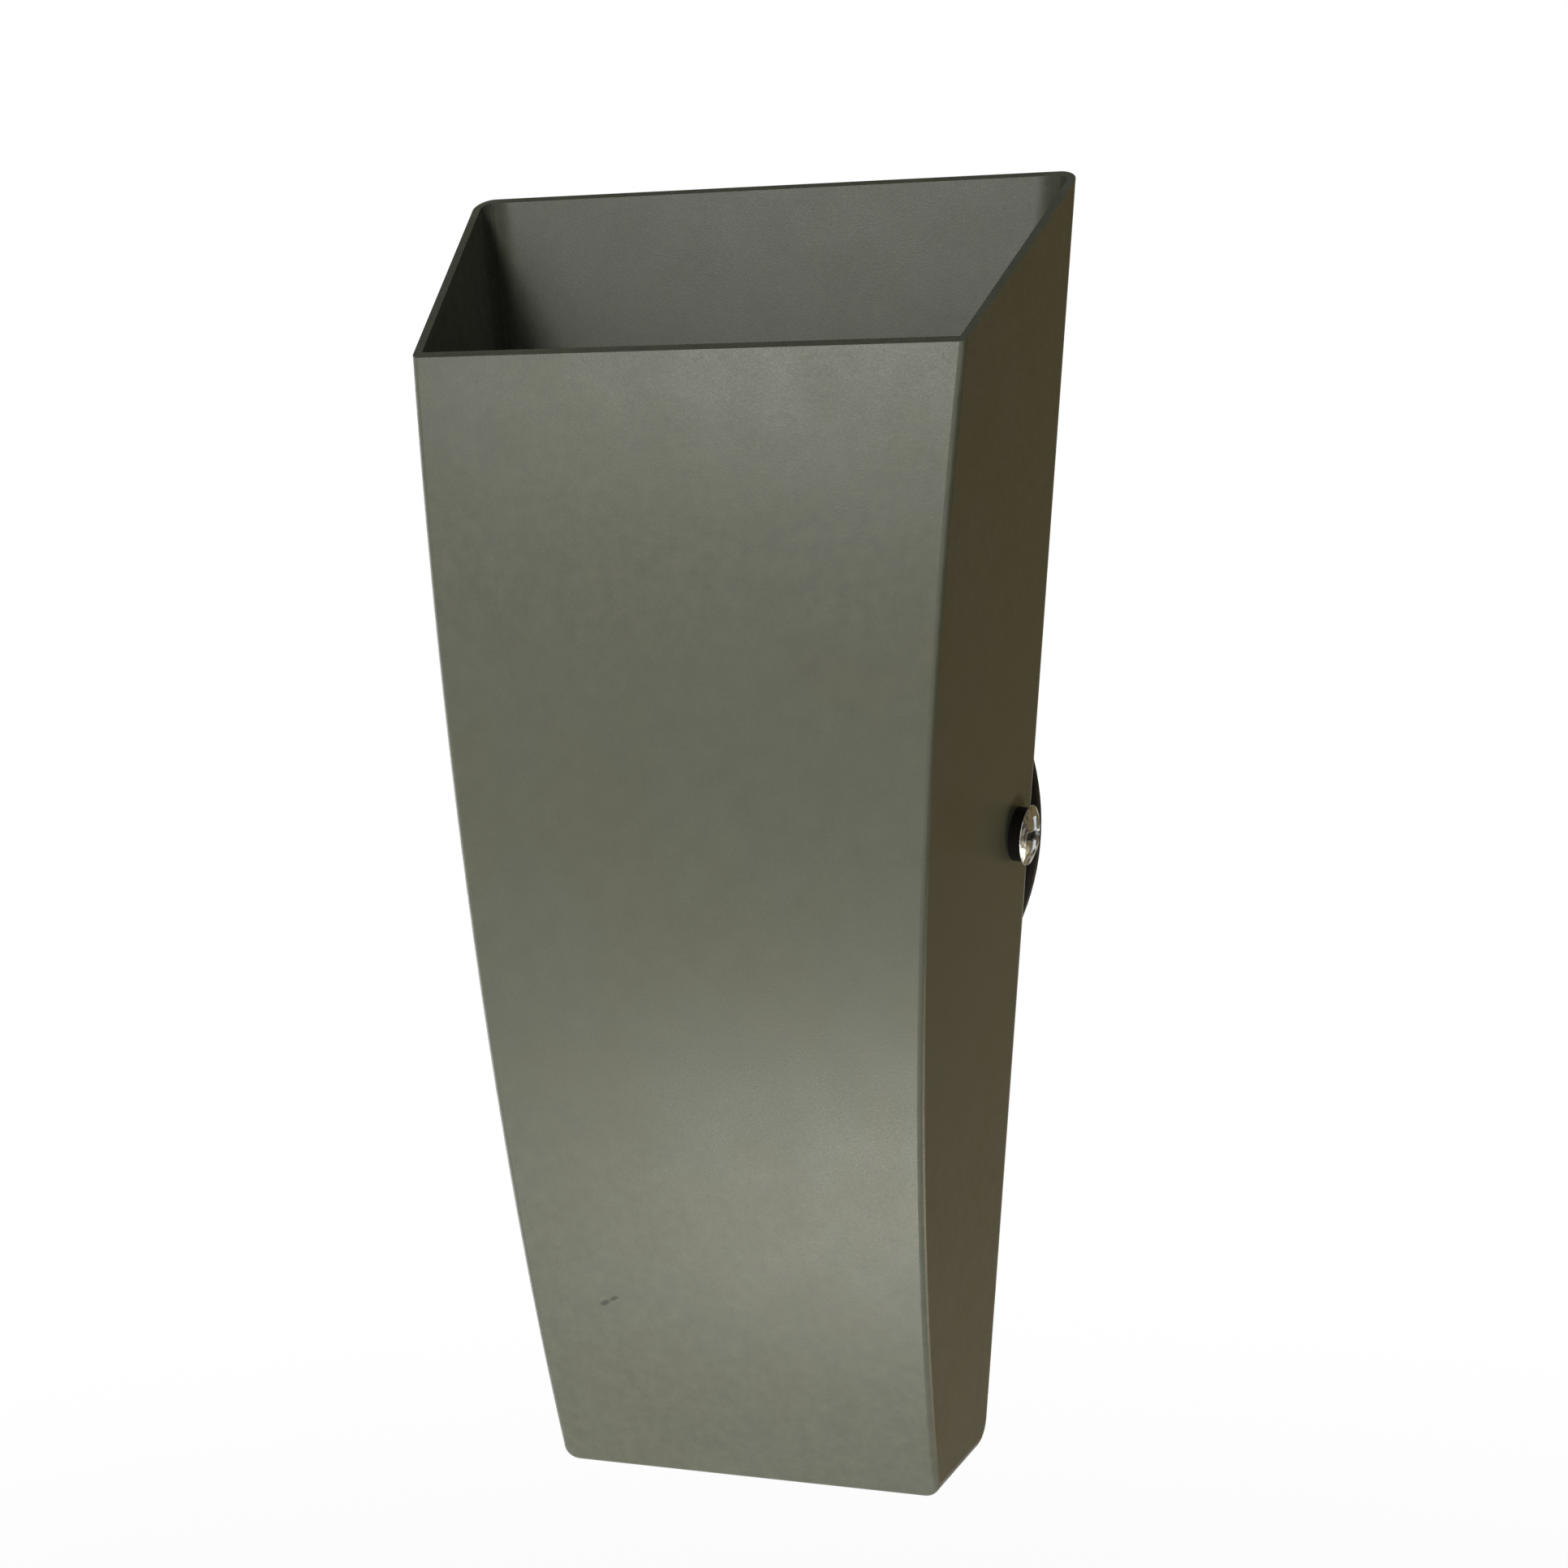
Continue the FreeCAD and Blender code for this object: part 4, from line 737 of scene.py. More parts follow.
@dataclass(frozen=True)
class Braided(Finish):
    """Braided sleeve: two sets of strands wound opposite ways, read from the piece's UV map."""

    tracer: Colour | None = None
    strands: int = 8
    stripe_twist: float = 0.12
    stripe_band: Band = (-0.1, 0.1)
    second_share: float = 0.86
    hollow_shade_share: float = 0.62
    crest_light_rise: float = 0.42
    fibre_size: float = 0.12 * MM
    fibre_tone: float = 0.3
    fibre_gloss: float = 0.1
    fibre_height: float = 0.2
    braid_depth: float = 0.12 * MM

    def weave(self, shader: Shader) -> tuple[Socket, Socket]:
        """Height of the crossing strands, and the share of the second colour.

        The height is the product of two sines, one for the strands of each direction, halved
        and raised by a half. The stripe is the sine of a slower twist.

        Args:
            shader: the material under construction.

        Returns:
            Both shares.
        """
        around, along, _ = shader.axes(shader.node("ShaderNodeTexCoord", output="UV"))
        one = ((around * self.strands + along) * TURN).math("SINE")
        other = ((around * self.strands - along) * TURN).math("SINE")
        twist = ((around + along * self.stripe_twist) * TURN).math("SINE")
        return (one * other) * 0.5 + 0.5, twist.step(*self.stripe_band)

    def lay(self, shader: Shader) -> None:
        """Lay the braid on an empty material, with painted shade in the hollows between strands.

        Args:
            shader: the material's tree.
        """
        height, stripe = self.weave(shader)
        fibres = shader.noise(shader.place(), Cloud(self.fibre_size))
        # Painted shade and light: the weave's hollows are darkened and its crests lightened.
        shade = (self.hollow_shade_share + height * self.crest_light_rise
                 + (fibres - 0.5) * self.fibre_tone)
        second = self.tracer or tuple(part * self.second_share for part in self.colour)
        shader.surface(
            Base_Color=shader.scaled(shader.mixed(stripe, self.colour, second), shade),
            Roughness=self.roughness + (fibres - 0.5) * self.fibre_gloss,
            Normal=shader.bump(height + fibres * self.fibre_height, self.braid_depth))


@dataclass(frozen=True)
class Blown(Finish):
    """Clear blown glass with a trace of haze and waviness."""

    bending: float = 1.46
    haze: Cloud = Cloud(3 * MM)
    haze_band: Band = (0.3, 0.9)
    haze_most: float = 0.05
    waves: Cloud = Cloud(5 * MM, detail=1.0)
    wave_depth: float = 0.05 * MM

    def lay(self, shader: Shader) -> None:
        """Lay the glass on an empty material.

        Args:
            shader: the material's tree.
        """
        place = shader.place()
        haze = shader.noise(place, self.haze).step(*self.haze_band)
        shader.surface(
            Base_Color=self.colour, Transmission_Weight=1.0, IOR=self.bending,
            Roughness=haze * self.haze_most,
            Normal=shader.bump(shader.noise(place, self.waves), self.wave_depth))


class Look(Enum):
    """Every finish on the lamp."""

    SHADE = SatinShade("shade_satin", srgb(111, 113, 96), 0.37,
                       grain_size=0.38 * MM, grain_depth=0.02 * MM)
    PLATE = Finish("plate_black_satin", srgb(19, 16, 11), 0.6, grain_size=0.5 * MM, specular=0.15)
    ZINC = Galvanised("zinc_plating", (0.62, 0.63, 0.64), 0.36, 1.0)
    SCREW_ZINC = Finish("zinc_screw", (0.6, 0.6, 0.58), 0.32, 1.0, cloud_size=1.5 * MM)
    BRIGHT = Worn("bright_screw_steel", (0.64, 0.68, 0.71), 0.3, 1.0, grain_size=0.3 * MM,
                  tarnish=(0.16, 0.15, 0.11), patch_size=1.5 * MM, cover=0.55)
    ALUMINIUM = Finish("rivet_aluminium", (0.56, 0.56, 0.55), 0.46, 1.0, cloud_size=2 * MM)
    BRASS = Tarnished("bare_brass", (0.72, 0.52, 0.22), 0.32, 1.0)
    TIN = Finish("tinned_copper", (0.66, 0.65, 0.62), 0.4, 1.0, cloud_size=1.5 * MM)
    HOLDER = Speckled("holder_ceramic", srgb(232, 226, 208), 0.62, grain_depth=0.02 * MM)
    CAP = Speckled("lamp_ceramic", srgb(238, 235, 224), 0.5, grain_depth=0.015 * MM)
    NYLON = Finish("terminal_nylon", srgb(228, 226, 214), 0.45, cloud_swing=0.1)
    WASHER = Finish("washer_black_nylon", srgb(18, 16, 12), 0.7, cloud_swing=0.4, specular=0.15)
    RUBBER = Finish("grommet_rubber", srgb(40, 39, 38), 0.78, cloud_swing=0.4,
                    grain_depth=0.02 * MM)
    GLASS = Blown("capsule_glass", (0.97, 0.98, 0.98), 0.0)
    WIRE = Finish("pin_wire", (0.58, 0.57, 0.54), 0.3, 1.0, cloud_size=1 * MM)
    TUNGSTEN = Finish("filament_tungsten", (0.32, 0.31, 0.3), 0.42, 1.0, cloud_size=0.5 * MM)
    LIVE = Braided("live_sleeve", srgb(138, 96, 62), 0.7)
    NEUTRAL = Braided("neutral_sleeve", srgb(104, 134, 170), 0.7)
    EARTH = Braided("earth_sleeve", srgb(92, 140, 58), 0.7, tracer=srgb(214, 196, 60))


@dataclass
class Surface:
    """A sheet of points on a grid: its rows run along it, and its columns close round it."""

    points: np.ndarray

    def faces(self) -> np.ndarray:
        """Corner numbers of every quad: each point with its next neighbours both ways.

        Returns:
            Four numbers for each quad, as rows.
        """
        rows, columns = self.points.shape[:2]
        number = np.arange(rows * columns).reshape(rows, columns)
        number = np.hstack([number, number[:, :1]])
        corners = (number[:-1, :-1], number[:-1, 1:], number[1:, 1:], number[1:, :-1])
        return np.stack(corners, axis=-1).reshape(-1, 4)

    def grid_shares(self) -> np.ndarray:
        """UV of every quad's corners: shares of the way round and along.

        Returns:
            Two shares for each corner, as rows.
        """
        rows, columns = self.points.shape[0] - 1, self.points.shape[1]
        along, around = np.meshgrid(np.arange(rows), np.arange(columns), indexing="ij")
        corners = ((0, 0), (0, 1), (1, 1), (1, 0))
        shares = [np.stack([(around + b) / columns, (along + a) / rows], -1) for a, b in corners]
        return np.stack(shares, axis=2).reshape(-1, 2)


def linked(name: str, data: bpy.types.ID) -> bpy.types.Object:
    """A new object, linked into the scene.

    Args:
        name: its name.
        data: its mesh, curve, light or camera.

    Returns:
        The object.
    """
    made = bpy.data.objects.new(name, data)
    bpy.context.scene.collection.objects.link(made)
    return made


def mesh_object(name: str, points: np.ndarray, faces: np.ndarray,
                material: bpy.types.Material) -> bpy.types.Object:
    """A new object of one mesh.

    Args:
        name: its name.
        points: the mesh's points, as rows.
        faces: the corner numbers of its quads, as rows.
        material: its material.

    Returns:
        The object.
    """
    mesh = bpy.data.meshes.new(name)
    mesh.from_pydata(points, [], faces.tolist())
    mesh.materials.append(material)
    return linked(name, mesh)


def tidy_mesh(mesh: bpy.types.Mesh, angle: float) -> None:
    """Merge doubles, turn faces outwards and set which edges stay crisp.

    Args:
        mesh: the mesh.
        angle: edges sharper than this many degrees stay crisp.
    """
    work = bmesh.new()
    work.from_mesh(mesh)
    bmesh.ops.remove_doubles(work, verts=work.verts, dist=WELD)
    bmesh.ops.recalc_face_normals(work, faces=work.faces)
    work.to_mesh(mesh)
    work.free()
    mesh.shade_smooth()
    mesh.set_sharp_from_angle(angle=math.radians(angle))


def build(name: str, sheets: list[Surface], look: Look, angle: float,
          along: float = 1.0, recess_shade: np.ndarray | None = None) -> bpy.types.Object:
    """Put sheets of points into one object, closing its poles and seams.

    Args:
        name: the piece's name.
        sheets: its surfaces.
        look: its finish.
        angle: edges sharper than this many degrees stay crisp.
        along: how many times the UV map runs along a sheet.
        recess_shade: share of painted shade at each point, if it has any.

    Returns:
        The new object.
    """
    rows = [sheet.points.reshape(-1, 3) for sheet in sheets]
    starts = np.cumsum([0] + [len(points) for points in rows])
    faces = np.vstack([sheet.faces() + start for sheet, start in zip(sheets, starts)])
    piece = mesh_object(name, np.vstack(rows), faces, look.value.material())
    layer = piece.data.uv_layers.new(name="weave")
    shares = np.vstack([sheet.grid_shares() for sheet in sheets]) * (1.0, along)
    layer.data.foreach_set("uv", shares.astype(np.float32).ravel())
    if recess_shade is not None:
        recess_shading = piece.data.attributes.new("recess_shade", "FLOAT", "POINT")
        recess_shading.data.foreach_set("value", recess_shade.astype(np.float32).ravel())
    tidy_mesh(piece.data, angle)
    return piece


def ease(values: np.ndarray, low: float, high: float) -> np.ndarray:
    """Smooth rise from 0 at low to 1 at high, in either order: 3t^2 - 2t^3 of the share t."""
    share = np.clip((values - low) / (high - low), 0, 1)
    return share * share * (3 - 2 * share)


def tube(path: np.ndarray, radius: float, sides: int, upright: Point) -> Surface:
    """A round section carried along a path: centre plus radius times a turning side vector.

    Args:
        path: the points that it follows, as rows.
        radius: of the section.
        sides: points round the section.
        upright: a direction that the path never takes, from which the sections are turned.

    Returns:
        The tube's surface, closed round and drawn to a point at both ends.
    """
    ends = np.vstack([path[:1], path, path[-1:]])
    width = np.concatenate([[0.0], np.full(len(path), radius), [0.0]])
    direction = np.gradient(path, axis=0)
    direction = np.vstack([direction[:1], direction, direction[-1:]])
    direction /= np.linalg.norm(direction, axis=1, keepdims=True)
    across = np.cross(direction, np.array(upright))
    across /= np.linalg.norm(across, axis=1, keepdims=True)
    other = np.cross(direction, across)
    angle = np.linspace(0, TURN, sides, endpoint=False)
    ring = (across[:, None] * np.cos(angle)[None, :, None]
            + other[:, None] * np.sin(angle)[None, :, None])
    return Surface(ends[:, None] + ring * width[:, None, None])


def lathe(profile: np.ndarray, turns: int) -> Surface:
    """A profile turned about Z: (r cos a, r sin a, h).

    Args:
        profile: radius and height of each point, as rows.
        turns: points round the turn.

    Returns:
        The turned surface.
    """
    angle = np.linspace(0, TURN, turns, endpoint=False)
    radius, height = profile[:, :1], profile[:, 1:]
    return Surface(np.stack([radius * np.cos(angle), radius * np.sin(angle),
                             np.broadcast_to(height, (len(profile), turns))], axis=-1))


def dense(corners: list[tuple[float, float]], step: float) -> np.ndarray:
    """An outline with points on its runs: each run's start plus even shares of its length.

    Args:
        corners: the outline's corners, in millimetres.
        step: the most that two points may be apart, in millimetres.

    Returns:
        The points, in metres, as rows.
    """
    corners = np.array(corners, float)
    counts = np.maximum(1, np.ceil(np.linalg.norm(np.diff(corners, axis=0), axis=1) / step))
    runs = [corners[i] + (corners[i + 1] - corners[i]) * np.linspace(0, 1, int(n), False)[:, None]
            for i, n in enumerate(counts)]
    return np.vstack(runs + [corners[-1:]]) * MM


@dataclass
class SideScrew:
    """One domed side screw with its cross recess and thread, on the normal of a side wall.

    Heights are along its axis from the wall's outer face, so the tip is below 0. An arm of
    the cross is arm_top to each side of its middle at the top, and arm_foot at its floor.
    """

    side: int
    head_radius: float = 5.55
    shank_radius: float = 2.45
    tip: float = -4.7
    seat: float = 2.3
    brow: float = 2.5
    crown: float = 3.6
    tip_chamfer: float = 0.5
    head_chamfer: float = 0.12
    brow_drop: float = 0.06
    dome_inset: float = 0.02
    outline_step: float = 0.1
    dome_rings: int = 90
    turns: int = 144
    thread_depth: float = 0.28
    thread_pitch: float = 0.8
    thread_start: Band = (0.4, 0.9)
    thread_end: Band = (0.1, 0.5)
    thread_play: float = 0.05
    least_radius: float = 0.1
    recess_depth: float = 1.3
    recess_rise: float = 0.45
    recess_middle: float = 0.3
    arm_length: float = 3.7
    arm_fade: float = 0.8
    arm_top: float = 1.215
    arm_foot: float = 0.3
    lobe: float = 0.22
    lobe_start: float = 1.0
    lobe_full: float = 3.2
    crown_play: float = 0.05
    recess_shade_gain: float = 3.0
    recess_shade_start: float = 0.9
    crisp: float = 35.0

    def profile(self) -> np.ndarray:
        """Half section from the tip over the shank, the seat and the flank up to the crown.

        The dome is an arc: its centre is below the crown by the bend, which is the sum of
        the squares of rim and rise over twice the rise.

        Returns:
            Radius and height of each point, in metres, as rows.
        """
        shank, rim = self.shank_radius, self.head_radius
        low = dense([(0, self.tip), (shank - self.tip_chamfer, self.tip),
                     (shank, self.tip + self.tip_chamfer), (shank, self.seat),
                     (rim - self.head_chamfer, self.seat), (rim, self.seat + self.head_chamfer),
                     (rim, self.brow - self.brow_drop)], self.outline_step)
        rise = self.crown - self.brow
        bend = (rim ** 2 + rise ** 2) / (2 * rise)
        radius = np.linspace(rim - self.dome_inset, 0, self.dome_rings)
        dome = np.stack([radius, self.crown - bend + np.sqrt(bend ** 2 - radius ** 2)], -1) * MM
        return np.vstack([low, dome])

    def thread(self, radius: np.ndarray, angle: np.ndarray, height: np.ndarray) -> np.ndarray:
        """Share by which the thread draws each point in.

        It takes away a triangle wave of the height in pitches less the turn, only on the
        shank, eased in above the tip and out below the seat.

        Args:
            radius: distance of each point from the axis.
            angle: its turn round the axis.
            height: its height.

        Returns:
            What its radius is multiplied by.
        """
        wave = np.abs(((height / self.thread_pitch - angle / TURN) % 1.0) * 2 - 1)
        start, end = self.thread_start, self.thread_end
        on_shank = (ease(height, self.tip + start[0], self.tip + start[1])
                    * ease(height, self.seat - end[0], self.seat - end[1])
                    * (radius > self.shank_radius - self.thread_play)
                    * (radius < self.shank_radius + self.thread_play))
        return 1 - on_shank * wave * self.thread_depth / np.maximum(radius, self.least_radius)

    def recess(self, x: np.ndarray, y: np.ndarray) -> np.ndarray:
        """How deep the pressed cross is at each point of the crown.

        It is a product of two eased steps, one across an arm and one along it, deeper at
        the middle.

        Args:
            x: places along one pair of arms.
            y: places along the other.

        Returns:
            The depths.
        """
        narrow, wide = np.minimum(abs(x), abs(y)), np.maximum(abs(x), abs(y))
        arm = (ease(narrow, self.arm_top, self.arm_foot)
               * ease(wide, self.arm_length, self.arm_length - self.arm_fade))
        rise = self.recess_rise * ease(wide, self.recess_middle, self.arm_length)
        floor = self.recess_depth * (1 - rise)
        return arm * floor

    def surface(self) -> tuple[Surface, np.ndarray]:
        """The lathed profile with a thread cut in its shank and a cross pressed in its crown.

        The metal that the cross pushes aside swells into four lobes between its arms, by
        the squared sine of twice the turn.

        Returns:
            The surface, and the share of painted shade at each of its points, which grows with the
            recess's depth.
        """
        sheet = lathe(self.profile(), self.turns)
        points = sheet.points / MM
        x, y, z = points[..., 0], points[..., 1], points[..., 2]
        radius, angle = np.hypot(x, y), np.arctan2(y, x)
        shrink = self.thread(radius, angle, z)
        on_crown = z > self.brow - self.crown_play
        down = self.recess(x, y) * on_crown
        swell = (self.lobe * np.sin(2 * angle) ** 2 * on_crown
                 * ease(radius, self.lobe_start, self.lobe_full)
                 * ease(radius, self.head_radius, self.lobe_full))
        sheet.points = np.stack([x * shrink, y * shrink, z + swell - down], -1) * MM
        # Painted shade: the deeper the cross recess, the darker it is painted.
        recess_shade = down / self.recess_depth * self.recess_shade_gain - self.recess_shade_start
        return sheet, np.clip(recess_shade, 0, 1)

    def make(self, name: str) -> bpy.types.Object:
        """Build the screw on its seat and let it stand for its CAD node.

        Args:
            name: "right" or "left".

        Returns:
            The screw.
        """
        sheet, recess_shade = self.surface()
        normal = Vector(FORM.outward(self.side))
        turn = np.array(normal.to_track_quat("Z", "Y").to_matrix())
        sheet.points = sheet.points @ turn.T + FORM.screw_seat(self.side)
        piece = build(f"side_screw_{name}_detailed", [sheet], Look.BRIGHT, self.crisp, recess_shade=recess_shade)
        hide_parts(f"side_screw_{name}")
        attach(piece, f"screw_{name}")
        return piece


@dataclass
class Capsule:
    """The lamp's coiled filament on its two posts."""

    axis_y: float = -29.3
    level: float = 36.0
    foot: float = 22.0
    coil_radius: float = 0.78
    coil_length: float = 6.4
    coils: int = 17
    coil_steps: int = 24
    wire: float = 0.11
    wire_sides: int = 8
    post_radius: float = 0.2
    post_sides: int = 12
    post_steps: int = 40
    post_gap: float = 0.05
    post_bend: float = 0.35
    post_sink: float = 0.02
    post_over: float = 0.7
    bend_start: Band = (0.1, 0.5)
    bend_end: Band = (0.9, 0.5)
    coil_upright: Point = (1.0, 0.02, 0.01)
    post_upright: Point = (0.0, 1.0, 0.1)
    crisp: float = 60.0

    def coil(self) -> np.ndarray:
        """Helix along X: length times the share, r sin a and r cos a about the coil's axis.

        Returns:
            Its points, in metres, as rows.
        """
        share = np.linspace(0, 1, self.coils * self.coil_steps)
        angle = TURN * self.coils * share
        along = (share - 0.5) * self.coil_length
        return np.stack([along, self.axis_y + self.coil_radius * np.sin(angle),
                         self.level + self.coil_radius * np.cos(angle)], -1) * MM

    def post(self, side: int) -> np.ndarray:
        """Centre line of one post, bent in towards the coil about halfway up.

        It stands a gap outside the coil's end, less a bend that is a product of two eased
        steps of the rise.

        Args:
            side: -1 or 1.

        Returns:
            Its points, in metres, as rows.
        """
        rise = np.linspace(0, 1, self.post_steps)
        bend = self.post_bend * ease(rise, *self.bend_start) * ease(rise, *self.bend_end)
        lean = side * (self.coil_length / 2 + self.post_gap - bend)
        up = self.foot + self.post_sink + rise * (self.level + self.post_over - self.foot)
        return np.stack([lean, np.full_like(rise, self.axis_y), up], -1) * MM

    def make(self) -> bpy.types.Object:
        """Build the filament and let it stand for its CAD node.

        Returns:
            The filament.
        """
        sheets = [tube(self.coil(), self.wire * MM, self.wire_sides, self.coil_upright)]
        sheets += [tube(self.post(side), self.post_radius * MM, self.post_sides, self.post_upright)
                   for side in (-1, 1)]
        piece = build("filament_coil", sheets, Look.TUNGSTEN, self.crisp)
        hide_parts("lamp_filament")
        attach(piece, "lamp")
        return piece


@dataclass
class Lead:
    """One sleeved lead on the smooth curve of its route's points, in millimetres."""

    node: str
    look: Look
    slot: str
    route: tuple[Point, ...]
    radius: float = 0.8
    sides: int = 20
    upright: Point = (0.9, 0.1, 0.05)
    braid_length: float = 1.6
    curve_steps: int = 24
    crisp: float = 50.0

    def centre_line(self) -> np.ndarray:
        """Points read from a NURBS spline whose control points are the route's.

        Returns:
            The points, in metres, as rows.
        """
        curve = bpy.data.curves.new(f"{self.node}_route", "CURVE")
        curve.dimensions = "3D"
        curve.resolution_u = self.curve_steps
        spline = curve.splines.new("NURBS")
        spline.points.add(len(self.route) - 1)
        for point, place in zip(spline.points, self.route):
            point.co = (*(v * MM for v in place), 1.0)
        spline.order_u = 3
        spline.use_endpoint_u = True
        guide = linked(f"{self.node}_guide", curve)
        bpy.context.view_layer.update()
        mesh = bpy.data.meshes.new_from_object(guide)
        places = np.empty(len(mesh.vertices) * 3)
        mesh.vertices.foreach_get("co", places)
        bpy.data.objects.remove(guide)
        bpy.data.meshes.remove(mesh)
        return places.reshape(-1, 3)

    def make(self) -> bpy.types.Object:
        """Build the sleeve and let it stand for its CAD node.

        Returns:
            The sleeve.
        """
        line = self.centre_line()
        length = float(np.linalg.norm(np.diff(line, axis=0), axis=1).sum())
        sheet = tube(line, self.radius * MM, self.sides, self.upright)
        piece = build(f"{self.node}_sleeve", [sheet], self.look, self.crisp,
                      along=length / (self.braid_length * MM))
        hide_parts(self.node)
        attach(piece, "root")
        LOG.info("%s is %.1f mm long", self.node, length / MM)
        return piece


@dataclass
class Lamp:
    """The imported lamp: which finish each CAD node takes, and where its leads run."""

    nodes: dict[str, bpy.types.Object]

    def looks(self) -> dict[str, Look]:
        """Finish of every CAD node."""
        return {
            "shade": Look.SHADE, "wall_plate": Look.PLATE, "bracket": Look.ZINC,
            "bracket_rivets": Look.ALUMINIUM, "angle_rivets": Look.ALUMINIUM,
            "holder_bracket": Look.ZINC, "lampholder_body": Look.HOLDER,
            "lampholder_contacts": Look.BRASS, "lampholder_screws": Look.SCREW_ZINC,
            "lampholder_nuts": Look.SCREW_ZINC, "lamp_base": Look.CAP, "lamp_glass": Look.GLASS,
            "lamp_pins": Look.WIRE, "lamp_filament": Look.TUNGSTEN,
            "terminal_housing": Look.NYLON, "terminal_tubes": Look.BRASS,
            "terminal_screws": Look.SCREW_ZINC, "terminal_fixing_screw": Look.SCREW_ZINC,
            "terminal_fixing_nut": Look.SCREW_ZINC, "earth_screw": Look.BRASS,
            "earth_washer": Look.SCREW_ZINC, "earth_lug": Look.TIN, "live_lead": Look.LIVE,
            "neutral_lead": Look.NEUTRAL, "earth_lead": Look.EARTH, "cable_grommet": Look.RUBBER,
            "side_nuts": Look.SCREW_ZINC, "side_washers": Look.WASHER,
            "side_screw_right": Look.BRIGHT, "side_screw_left": Look.BRIGHT,
        }

    def dress(self) -> None:
        """Give each CAD node its finish."""
        looks = self.looks()
        for name, piece in self.nodes.items():
            piece.data.materials.clear()
            piece.data.materials.append(looks[name].value.material())
            LOG.info("%s dressed as %s", name, looks[name].value.name)

    def leads(self) -> list[Lead]:
        """The three leads, on the same route points as their solids."""
        return [
            Lead("live_lead", Look.LIVE, "live_sleeve", (
                (9.5, -11.5, -31), (9.5, -11.5, -22), (4.5, -29.3, -11), (4.5, -29.3, 0))),
            Lead("neutral_lead", Look.NEUTRAL, "neutral_sleeve", (
                (0, -11.5, -31), (0, -11.5, -22), (-4.5, -29.3, -11), (-4.5, -29.3, 0))),
            Lead("earth_lead", Look.EARTH, "earth_sleeve", (
                (-22, -6.7, -25.6), (-22, -6.7, -41.6), (-18.25, -8.14, -48.6),
                (-13.25, -10.06, -48.6), (-9.5, -11.5, -41.6), (-9.5, -11.5, -37))),
        ]


@dataclass(frozen=True)
class SoftBox:
    """One square studio light: its place, aim and width in metres, and its power in watts."""

    name: str
    place: Point
    aim: Point
    width: float
    power: float
    colour: Colour = (1.0, 1.0, 1.0)

    def make(self) -> bpy.types.Object:
        """Hang the light and turn it to its aim.

        Returns:
            The light.
        """
        data = bpy.data.lights.new(self.name, "AREA")
        data.shape = "SQUARE"
        data.size = self.width
        data.energy = self.power
        data.color = self.colour
        light = linked(self.name, data)
        light.location = self.place
        light.rotation_mode = "QUATERNION"
        towards = Vector(self.aim) - Vector(self.place)
        light.rotation_quaternion = towards.to_track_quat("-Z", "Y")
        light.visible_camera = False
        return light


@dataclass(frozen=True)
class Flag:
    """A dim studio card that keeps the white surround out of the gloss of one side."""

    name: str
    place: Point
    aim: Point
    width: float
    colour: Colour

    def make(self) -> bpy.types.Object:
        """Stand the card: two unit vectors square to its aim carry its corners.

        Returns:
            The card.
        """
        place = np.array(self.place)
        out = np.array(self.aim) - place
        along = np.cross(out, (0.0, 0.0, 1.0))
        along /= np.linalg.norm(along)
        over = np.cross(along, out / np.linalg.norm(out))
        corners = [place + self.width / 2 * (a * along + b * over)
                   for a, b in ((-1, -1), (1, -1), (1, 1), (-1, 1))]
        material = bpy.data.materials.new(self.name)
        shader = Shader(material)
        shader.close(shader.glow(self.colour))
        card = mesh_object(self.name, np.array(corners), np.array([[0, 1, 2, 3]]), material)
        card.visible_camera = False
        return card


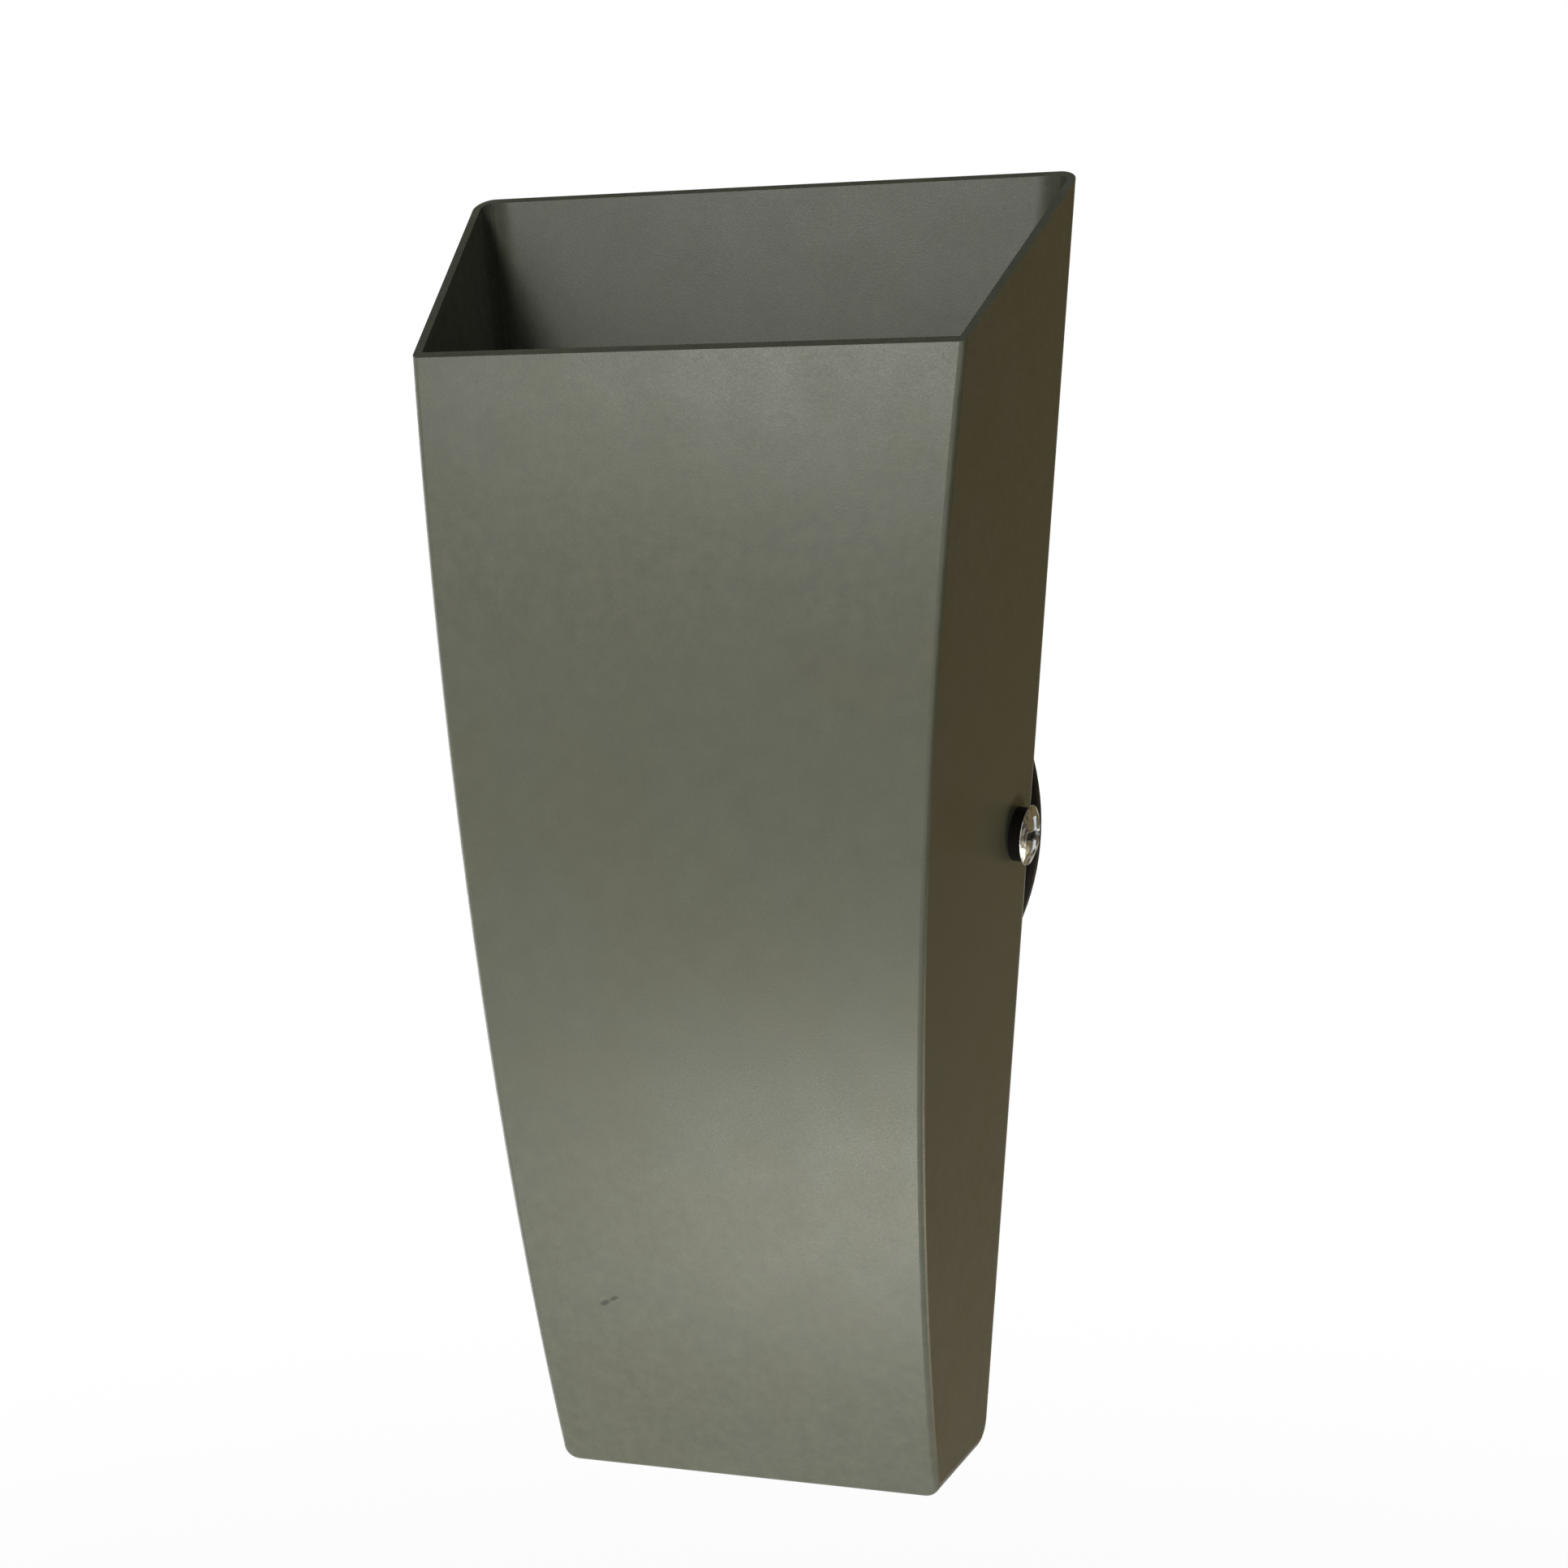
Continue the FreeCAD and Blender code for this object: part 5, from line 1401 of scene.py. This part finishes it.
@dataclass
class Studio:
    """Plain studio: soft boxes, dim cards, a pale floor and a white surround."""

    floor_level: float = -0.8
    floor_reach: float = 8.0
    floor_sides: int = 96
    floor_crisp: float = 30.0
    floor_paint: Colour = (0.9, 0.9, 0.89)
    floor_glow: float = 0.93
    white: Colour = (1.0, 1.0, 1.0)
    white_band: Band = (0.9, 2.2)
    ambient: float = 0.05
    lights: tuple[SoftBox, ...] = (
        SoftBox("key_box", (-0.34, -1.4, 0.52), (0.0, -0.03, 0.0), 0.4, 5.4, (1.0, 1.0, 0.95)),
        SoftBox("low_box", (-0.08, -0.5, -0.46), (0.0, -0.05, -0.06), 0.24, 1.4,
                (1.0, 1.0, 0.88)),
        SoftBox("left_box", (-1.0, 0.2, -0.3), (-0.05, -0.02, 0.0), 0.85, 4.6),
        SoftBox("right_box", (0.37, 0.1, -0.25), (0.05, -0.02, 0.0), 0.15, 0.33,
                (1.0, 0.84, 0.62)),
        SoftBox("back_box", (-0.6, 1.15, -0.1), (0.0, 0.0, 0.0), 0.6, 7.0),
    )
    flags: tuple[Flag, ...] = (
        Flag("edge_card", (0.5, -0.1, 0.0), (0.05, -0.02, 0.0), 0.5, (0.03, 0.028, 0.018)),
        Flag("right_card", (0.42, 0.42, 0.27), (0.05, -0.02, 0.27), 0.8, (0.19, 0.143, 0.068)),
        Flag("right_low_card", (0.42, 0.42, -0.43), (0.05, -0.02, -0.43), 0.6,
             (0.17, 0.122, 0.05)),
        Flag("top_card", (0.0, 0.1, 0.62), (0.0, -0.02, 0.1), 1.3, (0.08, 0.08, 0.075)),
    )

    def make_floor(self) -> bpy.types.Object:
        """Large pale disc that takes the lamp's shadow near it and is seen as white far off.

        Its glow's share is the floor's plain glow, plus the rest as the distance grows, and
        only for the rays that see it.

        Returns:
            The floor.
        """
        level = self.floor_level
        sheet = lathe(np.array([[0.0, level], [self.floor_reach, level]]), self.floor_sides)
        material = bpy.data.materials.new("studio_floor")
        shader = Shader(material)
        paint = shader.node("ShaderNodeBsdfDiffuse", inputs={"Color": self.floor_paint})
        distance = shader.node("ShaderNodeVectorMath", {"operation": "LENGTH"},
                               {0: shader.place()}, "Value")
        share = self.floor_glow + distance.step(*self.white_band) * (1 - self.floor_glow)
        shader.close(shader.node("ShaderNodeMixShader", inputs={
            0: shader.seen() * share, 1: paint, 2: shader.glow(self.white)}))
        floor = mesh_object("floor", sheet.points.reshape(-1, 3), sheet.faces(), material)
        tidy_mesh(floor.data, self.floor_crisp)
        return floor

    def make_world(self) -> bpy.types.World:
        """Surround that is white where it is seen and dim where it lights.

        Returns:
            The world.
        """
        world = bpy.data.worlds.new("studio")
        bpy.context.scene.world = world
        shader = Shader(world)
        strength = self.ambient + shader.seen() * (1 - self.ambient)
        shader.close(shader.node("ShaderNodeBackground", inputs={
            "Color": self.white, "Strength": strength}))
        return world

    def make(self) -> None:
        """Set up lights, cards, floor and world."""
        for fitting in (*self.lights, *self.flags):
            LOG.info("set up %s", fitting.make().name)
        LOG.info("set up %s and %s", self.make_floor().name, self.make_world().name)
        bpy.context.scene.view_settings.view_transform = "Standard"


@dataclass
class Viewpoint:
    """Camera at the photograph's viewing angle, in millimetres and degrees.

    Its lens is focal_share times as long as the sensor is wide, and it sees from nearest to
    farthest, in metres.
    """

    target: Point = (1.06, -5.3, 6.64)
    distance: float = 451.9
    yaw: float = 16.2
    pitch: float = 7.95
    roll: float = -0.97
    focal_share: float = 2900 / 1932
    sensor: float = 36.0
    nearest: float = 0.01
    farthest: float = 50.0

    def make(self) -> bpy.types.Object:
        """Place the camera: yaw and pitch turn its axis, and roll turns it about that axis.

        Returns:
            The camera.
        """
        yaw, pitch, roll = (math.radians(v) for v in (self.yaw, self.pitch, self.roll))
        forward = Vector((-math.sin(yaw) * math.cos(pitch), math.cos(yaw) * math.cos(pitch),
                          -math.sin(pitch)))
        level = Vector((math.cos(yaw), math.sin(yaw), 0))
        upright = level.cross(forward)
        right = level * math.cos(roll) + upright * math.sin(roll)
        up = upright * math.cos(roll) - level * math.sin(roll)
        data = bpy.data.cameras.new("photo_view")
        data.sensor_width = self.sensor
        data.lens = self.focal_share * self.sensor
        data.clip_start, data.clip_end = self.nearest, self.farthest
        camera = linked("photo_view", data)
        turn = Matrix((right, up, -forward)).transposed()
        place = (Vector(self.target) - forward * self.distance) * MM
        camera.matrix_world = Matrix.Translation(place) @ turn.to_4x4()
        bpy.context.scene.camera = camera
        return camera


def main() -> None:
    """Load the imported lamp, dress it, add its fine pieces and set up the studio."""
    logging.basicConfig(level=logging.INFO, format="%(name)s: %(message)s")
    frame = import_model()
    lamp = Lamp(frame["nodes"])
    LOG.info("set up %s", Viewpoint().make().name)
    lamp.dress()
    for name, side in (("right", 1), ("left", -1)):
        LOG.info("built %s", SideScrew(side).make(name).name)
    LOG.info("built %s", Capsule().make().name)
    for lead in lamp.leads():
        LOG.info("built %s", lead.make().name)
    Studio().make()


if __name__ == "__main__":
    main()
